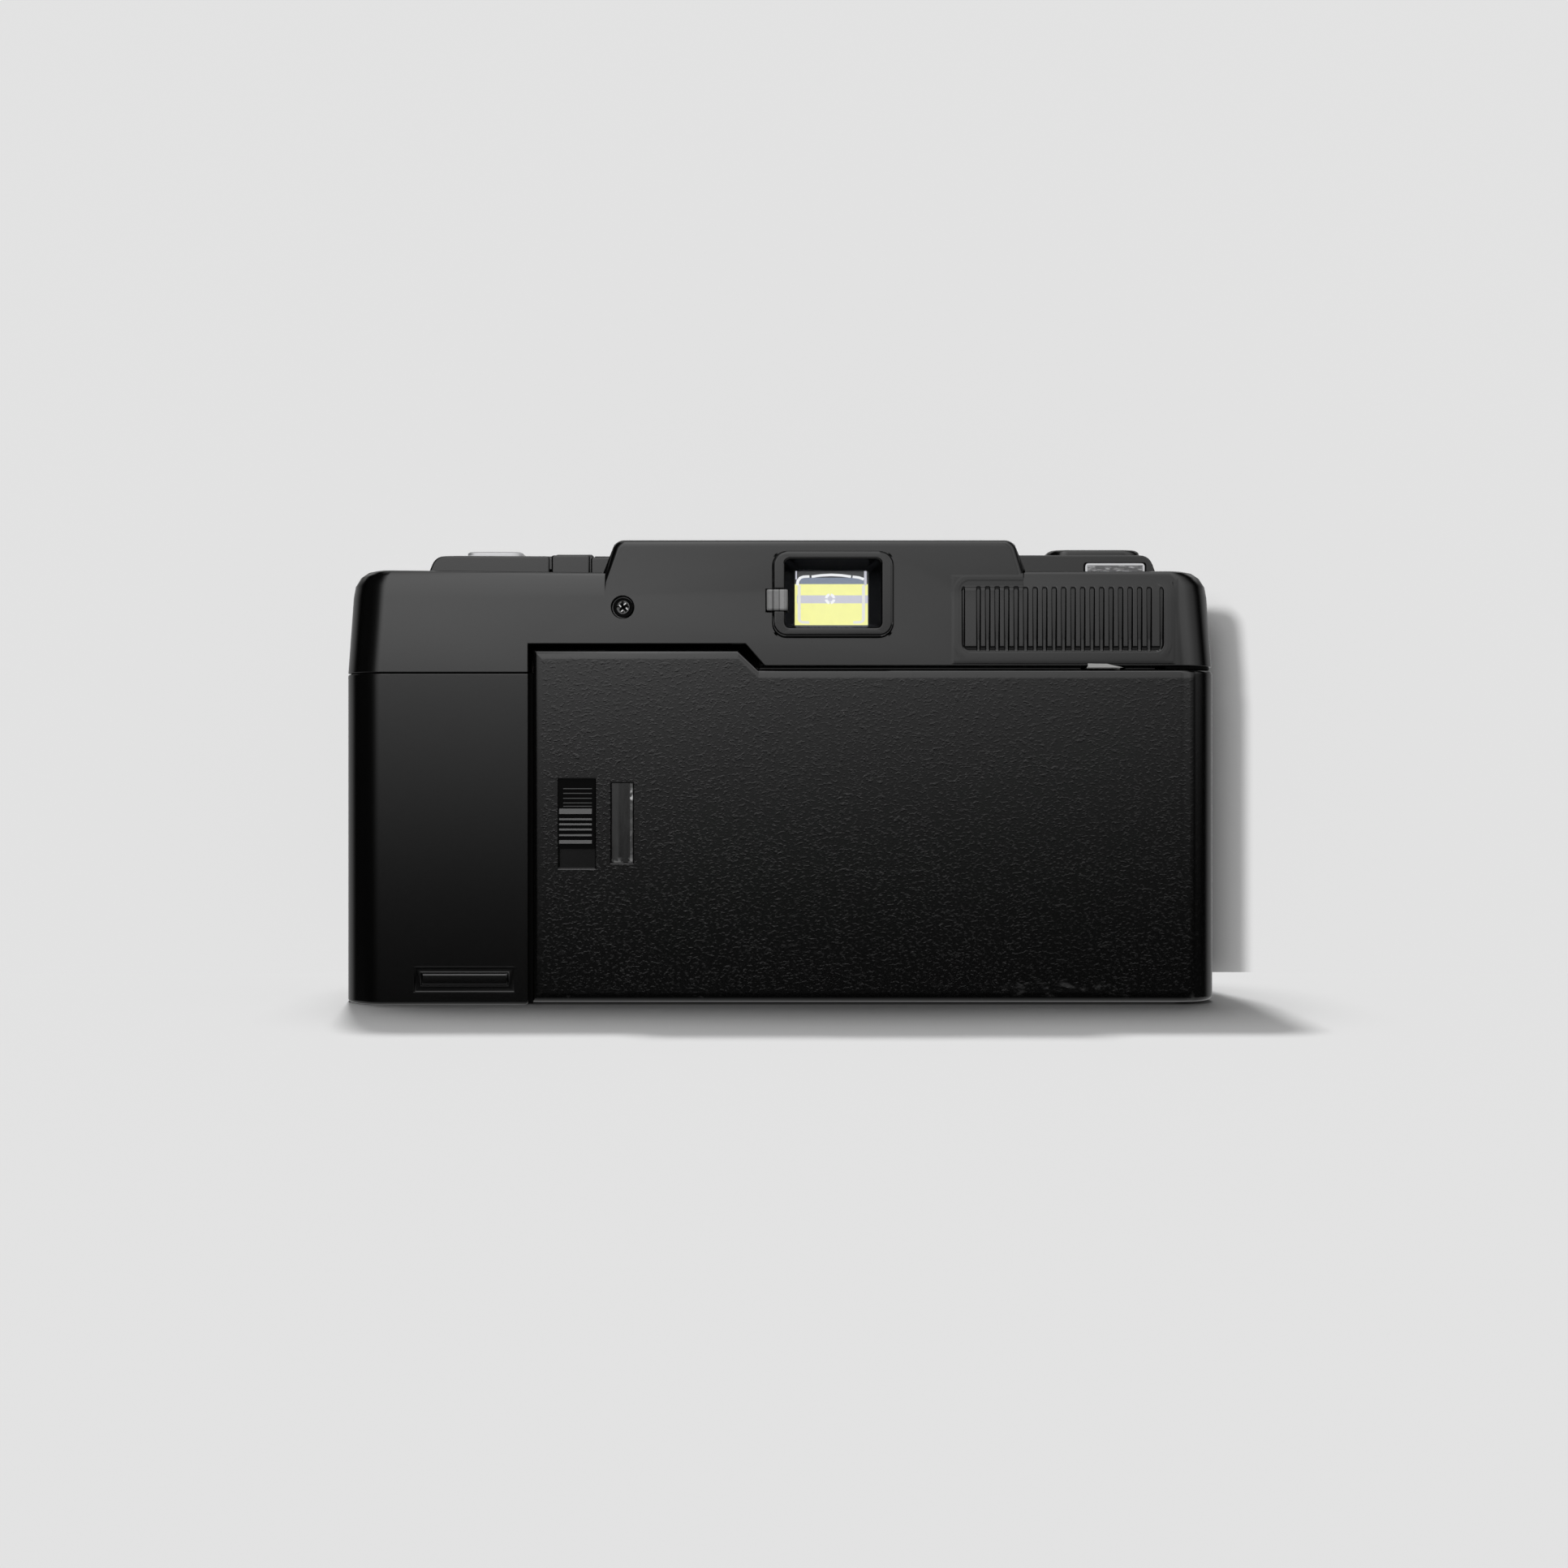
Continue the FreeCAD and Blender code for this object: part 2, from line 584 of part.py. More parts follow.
def top_cover():
    cover = Piece("top_cover")
    crown = s.shoulder_height - s.crown_end
    rise = s.hump_slope
    lean = s.platform_slope
    hump_front = front - s.face_draft
    cover.loft("top", [
        (s.seam_height, plan(0, 0, 0)),
        (crown, plan(s.end_draft, s.face_draft, 0)),
    ])
    steps = []
    for angle in (0, 25, 50, 72, 90):
        inward = 1 - math.cos(math.radians(angle))
        upward = math.sin(math.radians(angle))
        outline = plan(s.end_draft + s.crown_end * inward, s.face_draft + s.crown_face * inward,
                       s.crown_end * inward * 0.7)
        steps.append((crown + s.crown_end * upward, outline))
    cover.loft("top", steps)

    foot = crown - 2.0
    top = hump_top
    cover.pad("rear", Outline().polygon(
        (hump_left, foot), (hump_right, foot), (hump_right, s.shoulder_height),
        (hump_right - rise, top), (hump_left + rise, top), (hump_left, s.shoulder_height)),
        hump_rear, hump_front)
    cover.fillet(s.hump_corner, along("y", (None, None, (top, top))))
    for face in (hump_rear, hump_front):
        cover.fillet(1.0, within_box((None, (face, face), (s.shoulder_height + 0.1, top)), 0.01))

    base = s.shoulder_height - 1.0
    left_top = left_platform_top
    right_top = right_platform_top
    cover.pad("rear", platform(-s.left_platform_end, hump_left + rise, lean, base, left_top),
              platform_rear, s.platform_front)
    cover.pad("rear", platform(s.right_platform_end, hump_right - rise, -lean, base, right_top),
              platform_rear, s.platform_front)
    cover.fillet(0.5, lambda edge: inside(edge, (None, None, (left_top, right_top)))
                 and not inside(edge, ((hump_left, hump_right), None, None)))

    # hollow: shoulders, hump, platforms
    inset = s.wall + s.end_draft
    cover.pocket("top", Outline().rounded(
        left + inset, rear + s.wall, right - inset, front - s.wall, s.corner - s.wall),
        s.seam_height - 1.0, ceiling)
    cover.pocket("rear", Outline().polygon(
        (hump_left + s.wall, foot), (hump_right - s.wall, foot),
        (hump_right - s.wall, s.shoulder_height),
        (hump_right - rise - s.wall, top - s.wall), (hump_left + rise + s.wall, top - s.wall),
        (hump_left + s.wall, s.shoulder_height)),
        rear + s.wall + s.face_draft, inner_front)
    for start, end, height in (
            (-s.left_platform_end + lean + s.wall, hump_left + s.wall, left_top - s.wall),
            (hump_right - s.wall, s.right_platform_end - lean * 0.6 - s.wall, right_top - s.wall)):
        cover.box((start, platform_rear + s.wall, ceiling - 0.5),
                  (end, s.platform_front - s.wall, height), cut=True)

    # step for the back door, and the lip that keeps light out above it
    channel = door_rear + s.door_rim + 0.3
    cover.pocket("rear", Outline().polygon(
        (panel_right, s.seam_height - 1.0), (right + 1.0, s.seam_height - 1.0),
        (right + 1.0, door_seam), (-s.tab_right_low + 0.9, door_seam),
        (-s.tab_right_high + 1.1, tab_seam), (panel_right, tab_seam)),
        rear - 1.0, channel)
    cover.box((right - inset - 1.0, channel, s.seam_height - 1.0),
              (right + 1.0, hinge_y + s.hinge_relief, door_seam), cut=True)
    lip_top = door_seam + 1.0
    cover.box((-s.tab_right_low, rear + s.wall - 0.1, door_seam),
              (s.right_platform_end, channel + 1.0, lip_top))
    cover.box((-s.tab_right_low, channel + 0.1, s.chassis_top + 0.1),
              (s.right_platform_end, channel + 1.0, lip_top))
    cover.box((s.shutter_across - 0.3, channel - 0.5, s.chassis_top - 0.5),
              (s.shutter_across + 6.3, channel + 1.5, door_seam), cut=True)

    # openings for what shows at the rear and on top
    screw = (-s.screw_across, screw_height)
    rear_openings = Outline().rectangle(
        -s.eyepiece_left + 0.5, eyepiece_bottom + 0.5,
        s.eyepiece_right - 0.5, eyepiece_top - 0.5)
    rear_openings.circle(*screw, s.screw_shank + 0.1)
    cover.pocket("rear", rear_openings, rear - 1.0, rear + s.wall + 1.0)
    cover.box((-2.1, rear - 1.0, lamp_low - 0.1), (0, rear + s.wall + 1.0, lamp_high + 0.1), cut=True)
    cover.rod("y", screw, s.screw_head + 0.25, rear - 1.0, rear + 0.95, cut=True)
    buttons = Outline().circle(*shutter_button, s.shutter_button_radius + s.sliding_gap)
    buttons.circle(*timer_button, s.timer_button_radius + s.sliding_gap)
    cover.pocket("top", buttons, ceiling, hump_top)
    cover.box((-s.switch_left - s.sliding_gap, platform_rear - 1.0, s.shoulder_height + 0.05),
              (-s.switch_right + s.sliding_gap, platform_rear + 10.5 + s.switch_travel + 0.3,
               left_top + 1.0), cut=True)
    half = s.window_width / 2
    cover.box((s.window_across - half, platform_rear - 1.0, s.shoulder_height + 0.05),
              (s.window_across + half, platform_rear + s.wall + 1.0, right_top - 1.1), cut=True)

    # openings in the front, behind one recess for the long window
    ahead = front + 1.0
    cover.box((-20.5, front - 0.7, window_bottom), (31.5, ahead, window_top), cut=True)
    front_openings = Outline().circle(*timer_lamp, 2.1)
    for start, end in ((-19.5, -11.5), (1.0, 17.0), (22.5, 30.5)):
        front_openings.rectangle(start, window_bottom + 0.8, end, window_top - 0.8)
    front_openings.rectangle(-s.flash_left, flash_bottom, -s.flash_right, flash_top)
    cover.pocket("rear", front_openings, inner_front - 1.0, ahead)

    # strap bar, moulded across a pocket in the left end
    low = s.seam_height + 4.3
    high = s.shoulder_height - 4.2
    cover.box((left + s.end_draft, -17.0, low - 1.0), (left + 4.4, -7.0, high + 1.0))
    cover.box((left - 1.0, -16.0, low), (left + 3.4, -8.0, high), cut=True)
    cover.rod("z", (left + 1.9, -12.0), 0.8, low - 0.3, high + 0.2)

    # shallow seat of the thumb rest
    cover.pocket("rear", thumb_panel(0.05), rear - 1.0, rear + s.panel_seat)


def thumb_panel(margin):
    last = s.thumb_left + s.bar_pitch * (s.bar_count - 1) + s.bar_width
    return Outline().rounded(
        s.thumb_left - 1.1 - margin, door_seam + 0.6 - margin, last + 1.1 + margin,
        thumb_top + 0.5 + margin, 1.0)


def thumb_rest():
    rest = Piece("thumb_rest")
    face = rear - 0.1
    rest.pad("rear", thumb_panel(0), face, rear + s.panel_seat)
    bars = Outline()
    for number in range(round(s.bar_count.value)):
        start = s.thumb_left + s.bar_pitch * number
        bars.rectangle(start, door_seam + s.thumb_foot, start + s.bar_width, thumb_top)
    rest.pad("rear", bars, face - s.bar_height, face + 0.1)


def eyepiece_frame():
    frame = Piece("eyepiece_frame")
    outer = (-s.eyepiece_left, eyepiece_bottom, s.eyepiece_right, eyepiece_top)
    face = rear - s.eyepiece_proud
    back = face + s.eyepiece_funnel
    frame.pad("rear", Outline().rounded(*outer, s.eyepiece_corner), face, rear + 0.1)
    frame.chamfer(0.3, within_box((None, (face, face), None)))
    frame.pad("rear", Outline().rectangle(
        outer[0] + 0.55, outer[1] + 0.55, outer[2] - 0.55, outer[3] - 0.55), rear, back)
    border = s.eyepiece_border
    mouth = Outline().rounded(outer[0] + border, outer[1] + 1.4,
                              outer[2] - border, outer[3] - 1.2, 0.8)
    throat = Outline().rounded(outer[0] + border + 1.6, outer[1] + 1.8,
                               outer[2] - border - 1.8, outer[3] - 2.4, 0.6)
    frame.loft("rear", [(face - 0.01, mouth), (back + 0.01, throat)], cut=True)
    frame.box((-2.1, face - 1.0, lamp_low - 0.05), (1.25, rear + s.wall + 1.0, lamp_high + 0.05),
              cut=True)


def eyepiece_lens():
    glass = Piece("eyepiece_lens")
    start = rear - s.eyepiece_proud + s.eyepiece_funnel
    glass.pad("rear", Outline().rounded(1.4, eyepiece_bottom + 1.1, 14.4, eyepiece_top - 1.6, 0.6),
              start, start + 1.5)


def viewfinder_housing():
    housing = Piece("viewfinder_housing")
    start = rear - s.eyepiece_proud + s.eyepiece_funnel + 1.5
    end = inner_front - 0.1
    housing.box((-0.4, start, eyepiece_bottom + 0.2), (17.4, end, eyepiece_top - 0.4))
    eye = Outline().rectangle(2.2, eyepiece_bottom + 1.8, 13.6, eyepiece_top - 2.4)
    far = Outline().rectangle(1.6, eyepiece_bottom + 1.8, 16.4, eyepiece_top - 2.2)
    housing.loft("rear", [(start - 0.01, eye), (end + 0.01, far)], cut=True)


def flash_ready_lamp():
    lamp = Piece("flash_ready_lamp")
    face = rear - s.eyepiece_proud - 0.1
    lamp.box((-2.0, face, lamp_low), (1.2, rear + s.wall + 0.6, lamp_high))
    lamp.fillet(0.3, within_box((None, (face, face), None)))


def front_window():
    window = Piece("front_window")
    window.pad("rear", Outline().rounded(-20.4, window_bottom + 0.1, 31.4, window_top - 0.1, 1.0),
               front - 0.7, front + 0.3)


def af_lenses():
    lenses = Piece("af_lenses")
    middle = (window_bottom + window_top) / 2
    radius = (window_top - window_bottom) / 2 - 2.1
    for x in (-15.5, 26.5):
        lenses.rod("y", (x, middle), radius, inner_front - 5.0, inner_front - 0.4)
        lenses.box((x - 3.9, inner_front - 8.0, window_bottom + 1.2),
                   (x + 3.9, inner_front - 5.0, window_top - 1.2))


def flash_unit():
    inner = (-s.flash_left + 0.6, -s.flash_right - 0.6)
    middle = (inner_front - 3.9, (flash_bottom + flash_top) / 2)
    low = flash_bottom + 0.4
    high = flash_top - 0.4
    bowl = (high - low) / 2 - 1.1
    back = inner_front - 8.4

    reflector = Piece("flash_reflector")
    reflector.box((inner[0], back, low), (inner[1], inner_front - 0.1, high))
    start = inner[0] + 0.7
    end = inner[1] - 0.7
    reflector.rod("x", middle, bowl, start, end, cut=True)
    reflector.pocket("side", Outline().polygon(
        (middle[0], middle[1] - bowl + 0.1), (inner_front + 0.1, low + 0.5),
        (inner_front + 0.1, high - 0.5), (middle[0], middle[1] + bowl - 0.1)), start, end)
    reflector.rod("x", middle, s.tube_bore, inner[0] - 1.0, inner[1] + 1.0, cut=True)

    tube = Piece("flash_tube")
    tube.rod("x", middle, s.tube_bore, inner[0] - 0.6, inner[1] + 0.6)

    window = Piece("flash_window")
    window.pad("rear", Outline().rounded(
        -s.flash_left + 0.05, flash_bottom + 0.05, -s.flash_right - 0.05, flash_top - 0.05,
        0.3), inner_front, front + 0.1)
    groove = window.box((-s.flash_left + 1.0, front - 0.1, flash_bottom + 1.0),
                        (-s.flash_right - 1.0, front + 0.2, flash_bottom + 1.5), cut=True)
    window.repeat(groove, "z", flash_top - flash_bottom - 2.4, 9)


def cover_screw():
    screw = Piece("cover_screw", -s.screw_across, 0, screw_height)
    seat = rear + 0.95
    screw.turned("y", Outline().polygon(
        (0, seat + 5.6), (0, seat - 0.7), (s.screw_head * 0.72, seat - 0.7),
        (s.screw_head, seat - 0.35), (s.screw_head, seat), (s.screw_shank, seat),
        (s.screw_shank, seat + 5.6)))
    for wide, tall in ((0.9, 0.15), (0.15, 0.9)):
        screw.box((-wide, seat - 1.0, -tall), (wide, seat - 0.3, tall), cut=True)


def side_cover():
    cover = Piece("side_cover")
    top = s.seam_height - s.cover_gap
    seam = s.side_seam
    cover.pad("top", Outline().rectangle(left, rear, panel_right, seam), 0, top)
    cover.fillet(s.corner, along("z", ((left, left), (rear, rear), None)))
    cover.fillet(0.5, within_box((None, (rear, seam), (0, 0)), 0.01))
    cover.pocket("top", Outline().rounded(
        left + s.wall, rear + s.wall, panel_right + s.corner, seam + s.corner,
        s.corner - s.wall), s.wall, top + 1.0)
    cover.box((panel_right - 1.2, rear + 0.5, 0.5), (panel_right, chassis_rear - 0.2, top))
    door = battery_door_edges()
    cover.box((door[0] - 0.15, -s.battery_door_rear - 0.15, -1.0),
              (door[1] + 0.95, s.battery_door_front + 0.15, s.wall + 1.0), cut=True)
    cover.rod("y", (door[1], 0.95), 0.4, -s.battery_door_rear - 1.3,
              s.battery_door_front + 1.3, cut=True)
    cover.box((-s.recess_left, rear - 1.0, s.recess_bottom),
              (-s.recess_right, rear + s.recess_depth, s.recess_top), cut=True)
    cover.box((-s.recess_left + 0.9, rear + 0.12, s.recess_bottom + 0.9),
              (-s.recess_right - 0.9, rear + s.recess_depth + 0.1, s.recess_top - 0.9))
    cover.chamfer(0.3, within_box(((-s.recess_left + 0.8, -s.recess_right - 0.8),
                                   (rear + 0.12, rear + 0.12), None), 0.01))


def battery_door_edges():
    """Free edge and hinge axis of the battery door, across the body."""
    middle = -s.cells_across
    half = s.battery_door_width / 2
    return middle - half, middle + half - 0.8


def battery_door():
    door = Piece("battery_door")
    free, axis = battery_door_edges()
    door.box((free, -s.battery_door_rear, 0.15), (axis, s.battery_door_front, 1.75))
    door.rod("y", (axis, 0.95), 0.8, -s.battery_door_rear, s.battery_door_front)
    door.rod("y", (axis, 0.95), 0.4 + s.running_gap, -s.battery_door_rear - 1.0,
             s.battery_door_front + 1.0, cut=True)
    groove = door.box((free + 1.2, -13.0, -1.0), (free + 1.8, -3.0, 0.5), cut=True)
    door.repeat(groove, "x", 3.6, 4)

    pin = Piece("battery_door_pin")
    pin.rod("y", (axis, 0.95), 0.4, -s.battery_door_rear - 1.2, s.battery_door_front + 1.2)


def battery_bay():
    rows = (-s.cell_rear_depth, -s.cell_front_depth)
    foot = 2.1
    holder = Piece("battery_holder")
    half = s.cell_radius + 0.75
    holder.box((-s.cells_across - half, rows[0] - s.cell_radius - 0.45, foot + 0.2),
               (-s.cells_across + half, rows[1] + s.cell_radius + 0.45,
                s.seam_height - 0.4))
    holder.chamfer(3.0, along("z"))
    cells = Piece("battery_cells")
    for turn, row in zip((1, -1), rows):
        holder.rod("z", (-s.cells_across, row), s.cell_radius + s.sliding_gap,
                   0, s.seam_height + 3.0, cut=True)
        base = foot if turn > 0 else foot + 1.0
        cells.rod("z", (-s.cells_across, row), s.cell_radius, base, base + s.cell_length - 1.0)
        nub = base + s.cell_length - 1.5 if turn > 0 else foot
        cells.rod("z", (-s.cells_across, row), 2.7, nub, nub + 1.5)
    contacts = Piece("battery_contacts")
    top = foot + s.cell_length + 0.1
    contacts.box((-s.cells_across - 5.0, rows[0] - 4.0, top),
                 (-s.cells_across + 5.0, rows[1] + 3.6, top + 0.3))


def front_cover():
    cover = Piece("front_cover")
    top = s.seam_height - s.cover_gap
    right_edge = hinge_y + s.hinge_relief
    left_edge = s.side_seam + s.cover_gap
    back = rear + 4.0
    cover.pad("top", Outline().rounded(left, back, right, front, s.corner), 0, top)
    cover.pocket("top", Outline().rounded(
        left + s.wall, back - 9.0, right - s.wall, inner_front, s.corner - s.wall),
        s.wall, top + 1.0)
    cover.box((left - 1.0, back - 1.0, -1.0), (0, left_edge, top + 1.0), cut=True)
    cover.box((-1.0, back - 1.0, -1.0), (right + 1.0, right_edge, top + 1.0), cut=True)
    cover.box((-1.0, right_edge - 1.0, -1.0), (right - s.wall, 9.2, s.wall + 0.1), cut=True)
    cover.box((panel_right + 0.1, left_edge - 0.1, -1.0), (0, 9.2, s.wall + 0.1), cut=True)
    cover.chamfer(0.6, lambda edge: inside(edge, (None, (front, front), (0, 0)), 0.01))
    cover.pad("rear", Outline().rounded(43.5, 5.0, 61.0, 45.5, 4.0), front - 0.5, front + 4.0)
    cover.fillet(2.6, within_box((None, (front + 4.0, front + 4.0), None), 0.01))
    groove = cover.box((46.0, front + 3.5, 11.0), (58.5, front + 5.0, 11.9), cut=True)
    cover.repeat(groove, "z", 28.0, 15)
    cover.rod("y", lens, s.shutter_radius + 0.2, inner_front - 1.0, front + 1.0, cut=True)


def base_plate():
    plate = Piece("base_plate")
    low = s.base_height
    high = low + s.wall
    plate.box((panel_right + 0.2, -21.2, low), (right - s.wall - 0.2, 9.0, high))
    plate.fillet(1.5, along("z"))
    plate.rod("z", (s.bush_across, -s.bush_depth), s.bush_radius + 0.05, low - 1, high + 1,
              cut=True)
    plate.rod("z", rewind_at, rewind_radius + s.sliding_gap, low - 1, high + 1, cut=True)
    for place in base_screw_places:
        plate.rod("z", place, s.screw_head + 0.1, low - 1, low + 0.7, cut=True)
        plate.rod("z", place, s.screw_shank + 0.1, low, high + 1, cut=True)


base_screw_places = ((-9.0, -15.0), (20.0, -15.0), (-9.0, 1.5), (19.0, 2.0))
rewind_at = (6.0, -15.0)
rewind_radius = as_size(1.5)


def base_fittings():
    bush = Piece("tripod_bush", s.bush_across, -s.bush_depth, 0)
    bush.rod("z", (0, 0), s.bush_radius, 0, s.thread_length + 2.0)
    bush.chamfer(0.4, within_box((None, None, (0, 0)), 0.01))
    bush.rod("z", (0, 0), s.thread_radius, -1.0, s.thread_length, cut=True)

    button = Piece("rewind_button", *rewind_at, 0)
    button.rod("z", (0, 0), rewind_radius, s.base_height + 0.1, 5.4)
    button.chamfer(0.3, within_box((None, None, (s.base_height + 0.1, s.base_height + 0.1))))

    screws = Piece("base_screws")
    seat = s.base_height + 0.7
    for place in base_screw_places:
        screws.rod("z", place, s.screw_head, seat - 0.65, seat)
        screws.rod("z", place, s.screw_shank, seat, seat + 6.0)
        x, y = place
        for wide, deep in ((0.9, 0.15), (0.15, 0.9)):
            screws.box((x - wide, y - deep, seat - 1.0), (x + wide, y + deep, seat - 0.35),
                       cut=True)


def chassis():
    body = Piece("chassis")
    back = chassis_rear
    step = 38.2
    body.pad("top", Outline().polygon(
        (-s.chassis_left, back), (s.chassis_right, back), (s.chassis_right, 1.0), (step, 1.0),
        (step, s.chassis_front), (-s.chassis_left, s.chassis_front)),
        s.chassis_floor, s.chassis_top)
    block_top = tab_seam + 0.5
    body.box((-s.chassis_left, back, s.chassis_top - 0.5), (-8.0, 0, block_top))
    post = -s.screw_across
    body.box((post - 2.5, back, block_top - 0.5), (post + 2.5, back + 5.0, screw_height + 2.5))
    body.rod("y", (post, screw_height), s.screw_shank, back - 1.0, back + 4.0, cut=True)

    # film chambers, open to the rear
    floor = s.chamber_floor
    roof = s.chamber_roof
    wells = ((cassette, s.cassette_radius), (spool, s.spool_chamber),
             (sprocket, s.sprocket_radius + 0.6))
    for (x, y), radius in wells:
        body.rod("z", (x, y), radius, floor, roof, cut=True)
        body.box((x - radius, back - 1.0, floor), (x + radius, y, roof), cut=True)
    tooth = s.sprocket_radius + 2.0
    for side in (-1, 1):
        row = s.lens_height + s.perforation_rows / 2 * side
        body.rod("z", sprocket, tooth, row - 1.2, row + 1.2, cut=True)
        body.box((sprocket[0] - tooth, back - 1.0, row - 1.2),
                 (sprocket[0] + tooth, sprocket[1], row + 1.2), cut=True)

    # light tunnel, wide at the picture gate and narrow at the lens
    x, z = lens
    gate_x = s.frame_width / 2
    gate_z = s.frame_height / 2
    body.loft("rear", [
        (back - s.inner_rail - 0.5, Outline().rectangle(x - gate_x, z - gate_z,
                                                        x + gate_x, z + gate_z)),
        (s.chassis_front + 0.01, Outline().rectangle(x - 8.0, z - 7.0, x + 8.0, z + 7.0)),
    ], cut=True)

    # film rails beside the gate
    for side in (-1, 1):
        inner = z + (gate_z + 0.9) * side
        outer = z + 18.4 * side
        body.box((x - gate_x - 3.0, back - s.inner_rail, inner - 0.5),
                 (x + gate_x + 0.4, back + 0.2, inner + 0.5))
        body.box((x - gate_x - 3.0, back - s.outer_rail, outer - 0.6),
                 (x + gate_x - 1.0, back + 0.2, outer + 0.6))

    # bearings of spool, sprocket and rewind fork
    gap = s.running_gap
    body.rod("z", spool, 1.5 + gap, s.chassis_floor - 1.0, floor + 0.1, cut=True)
    body.rod("z", spool, 2.0 + gap, roof - 0.1, s.chassis_top + 1.0, cut=True)
    body.rod("z", sprocket, 1.5 + gap, s.chassis_floor - 1.0, s.chassis_top + 1.0, cut=True)
    body.rod("z", cassette, 1.5 + gap, roof - 0.1, block_top + 1.0, cut=True)

    # seats in the underside
    body.rod("z", (s.bush_across, -s.bush_depth), s.bush_radius + 0.05, s.chassis_floor - 1.0,
             s.thread_length + 2.1, cut=True)
    body.rod("z", rewind_at, rewind_radius + s.sliding_gap, s.chassis_floor - 1.0, 7.0,
             cut=True)
    for place in base_screw_places:
        body.rod("z", place, s.screw_shank, s.chassis_floor - 1.0, 8.0, cut=True)

    # middle knuckle of the door hinge
    low = 12.0
    high = 39.0
    body.rod("z", (hinge_x, hinge_y), s.knuckle_reach - 0.1, low, high)
    body.box((s.chassis_right - 0.5, hinge_y - 1.0, low), (hinge_x, hinge_y + 1.0, high))
    body.rod("z", (hinge_x, hinge_y), s.pin_radius, low - 1.0, high + 1.0, cut=True)


def small_inner_pieces():
    pin = Piece("hinge_pin", hinge_x, hinge_y, 0)
    pin.rod("z", (0, 0), s.pin_radius, 3.6, 47.0)

    seal = Piece("light_seal")
    seal.box((panel_right + 0.1, chassis_rear - 1.2, 3.0),
             (panel_right + 1.3, chassis_rear, 52.0))

    board = Piece("circuit_board")
    face = s.chassis_front + 0.2
    board.box((-36.0, face, 4.0), (-8.9, face + 1.0, 48.0))
    for x, z, wide, tall in ((-30.0, 12.0, 9.0, 9.0), (-18.0, 30.0, 6.0, 10.0),
                             (-32.0, 34.0, 5.0, 5.0)):
        board.box((x, face + 0.9, z), (x + wide, face + 2.6, z + tall))

    capacitor = Piece("flash_capacitor", panel_right - 5.0, -8.0, 1.6)
    capacitor.rod("z", (0, 0), s.capacitor_radius, 0, 36.0)
    capacitor.chamfer(0.6, within_box((None, None, (36.0, 37.7))))

    engine = Piece("drive_motor", *motor, 0)
    engine.rod("z", (0, 0), s.motor_radius, 22.0, s.chassis_top)
    engine.chamfer(0.5, within_box((None, None, (22.0, 22.0))))
    engine.rod("z", (0, 0), 1.7, s.chassis_top - 0.5, s.low_gear_level + 1.0)
    engine.rod("z", (0, 0), 0.75 + s.running_gap, 44.0, s.low_gear_level + 2.0, cut=True)


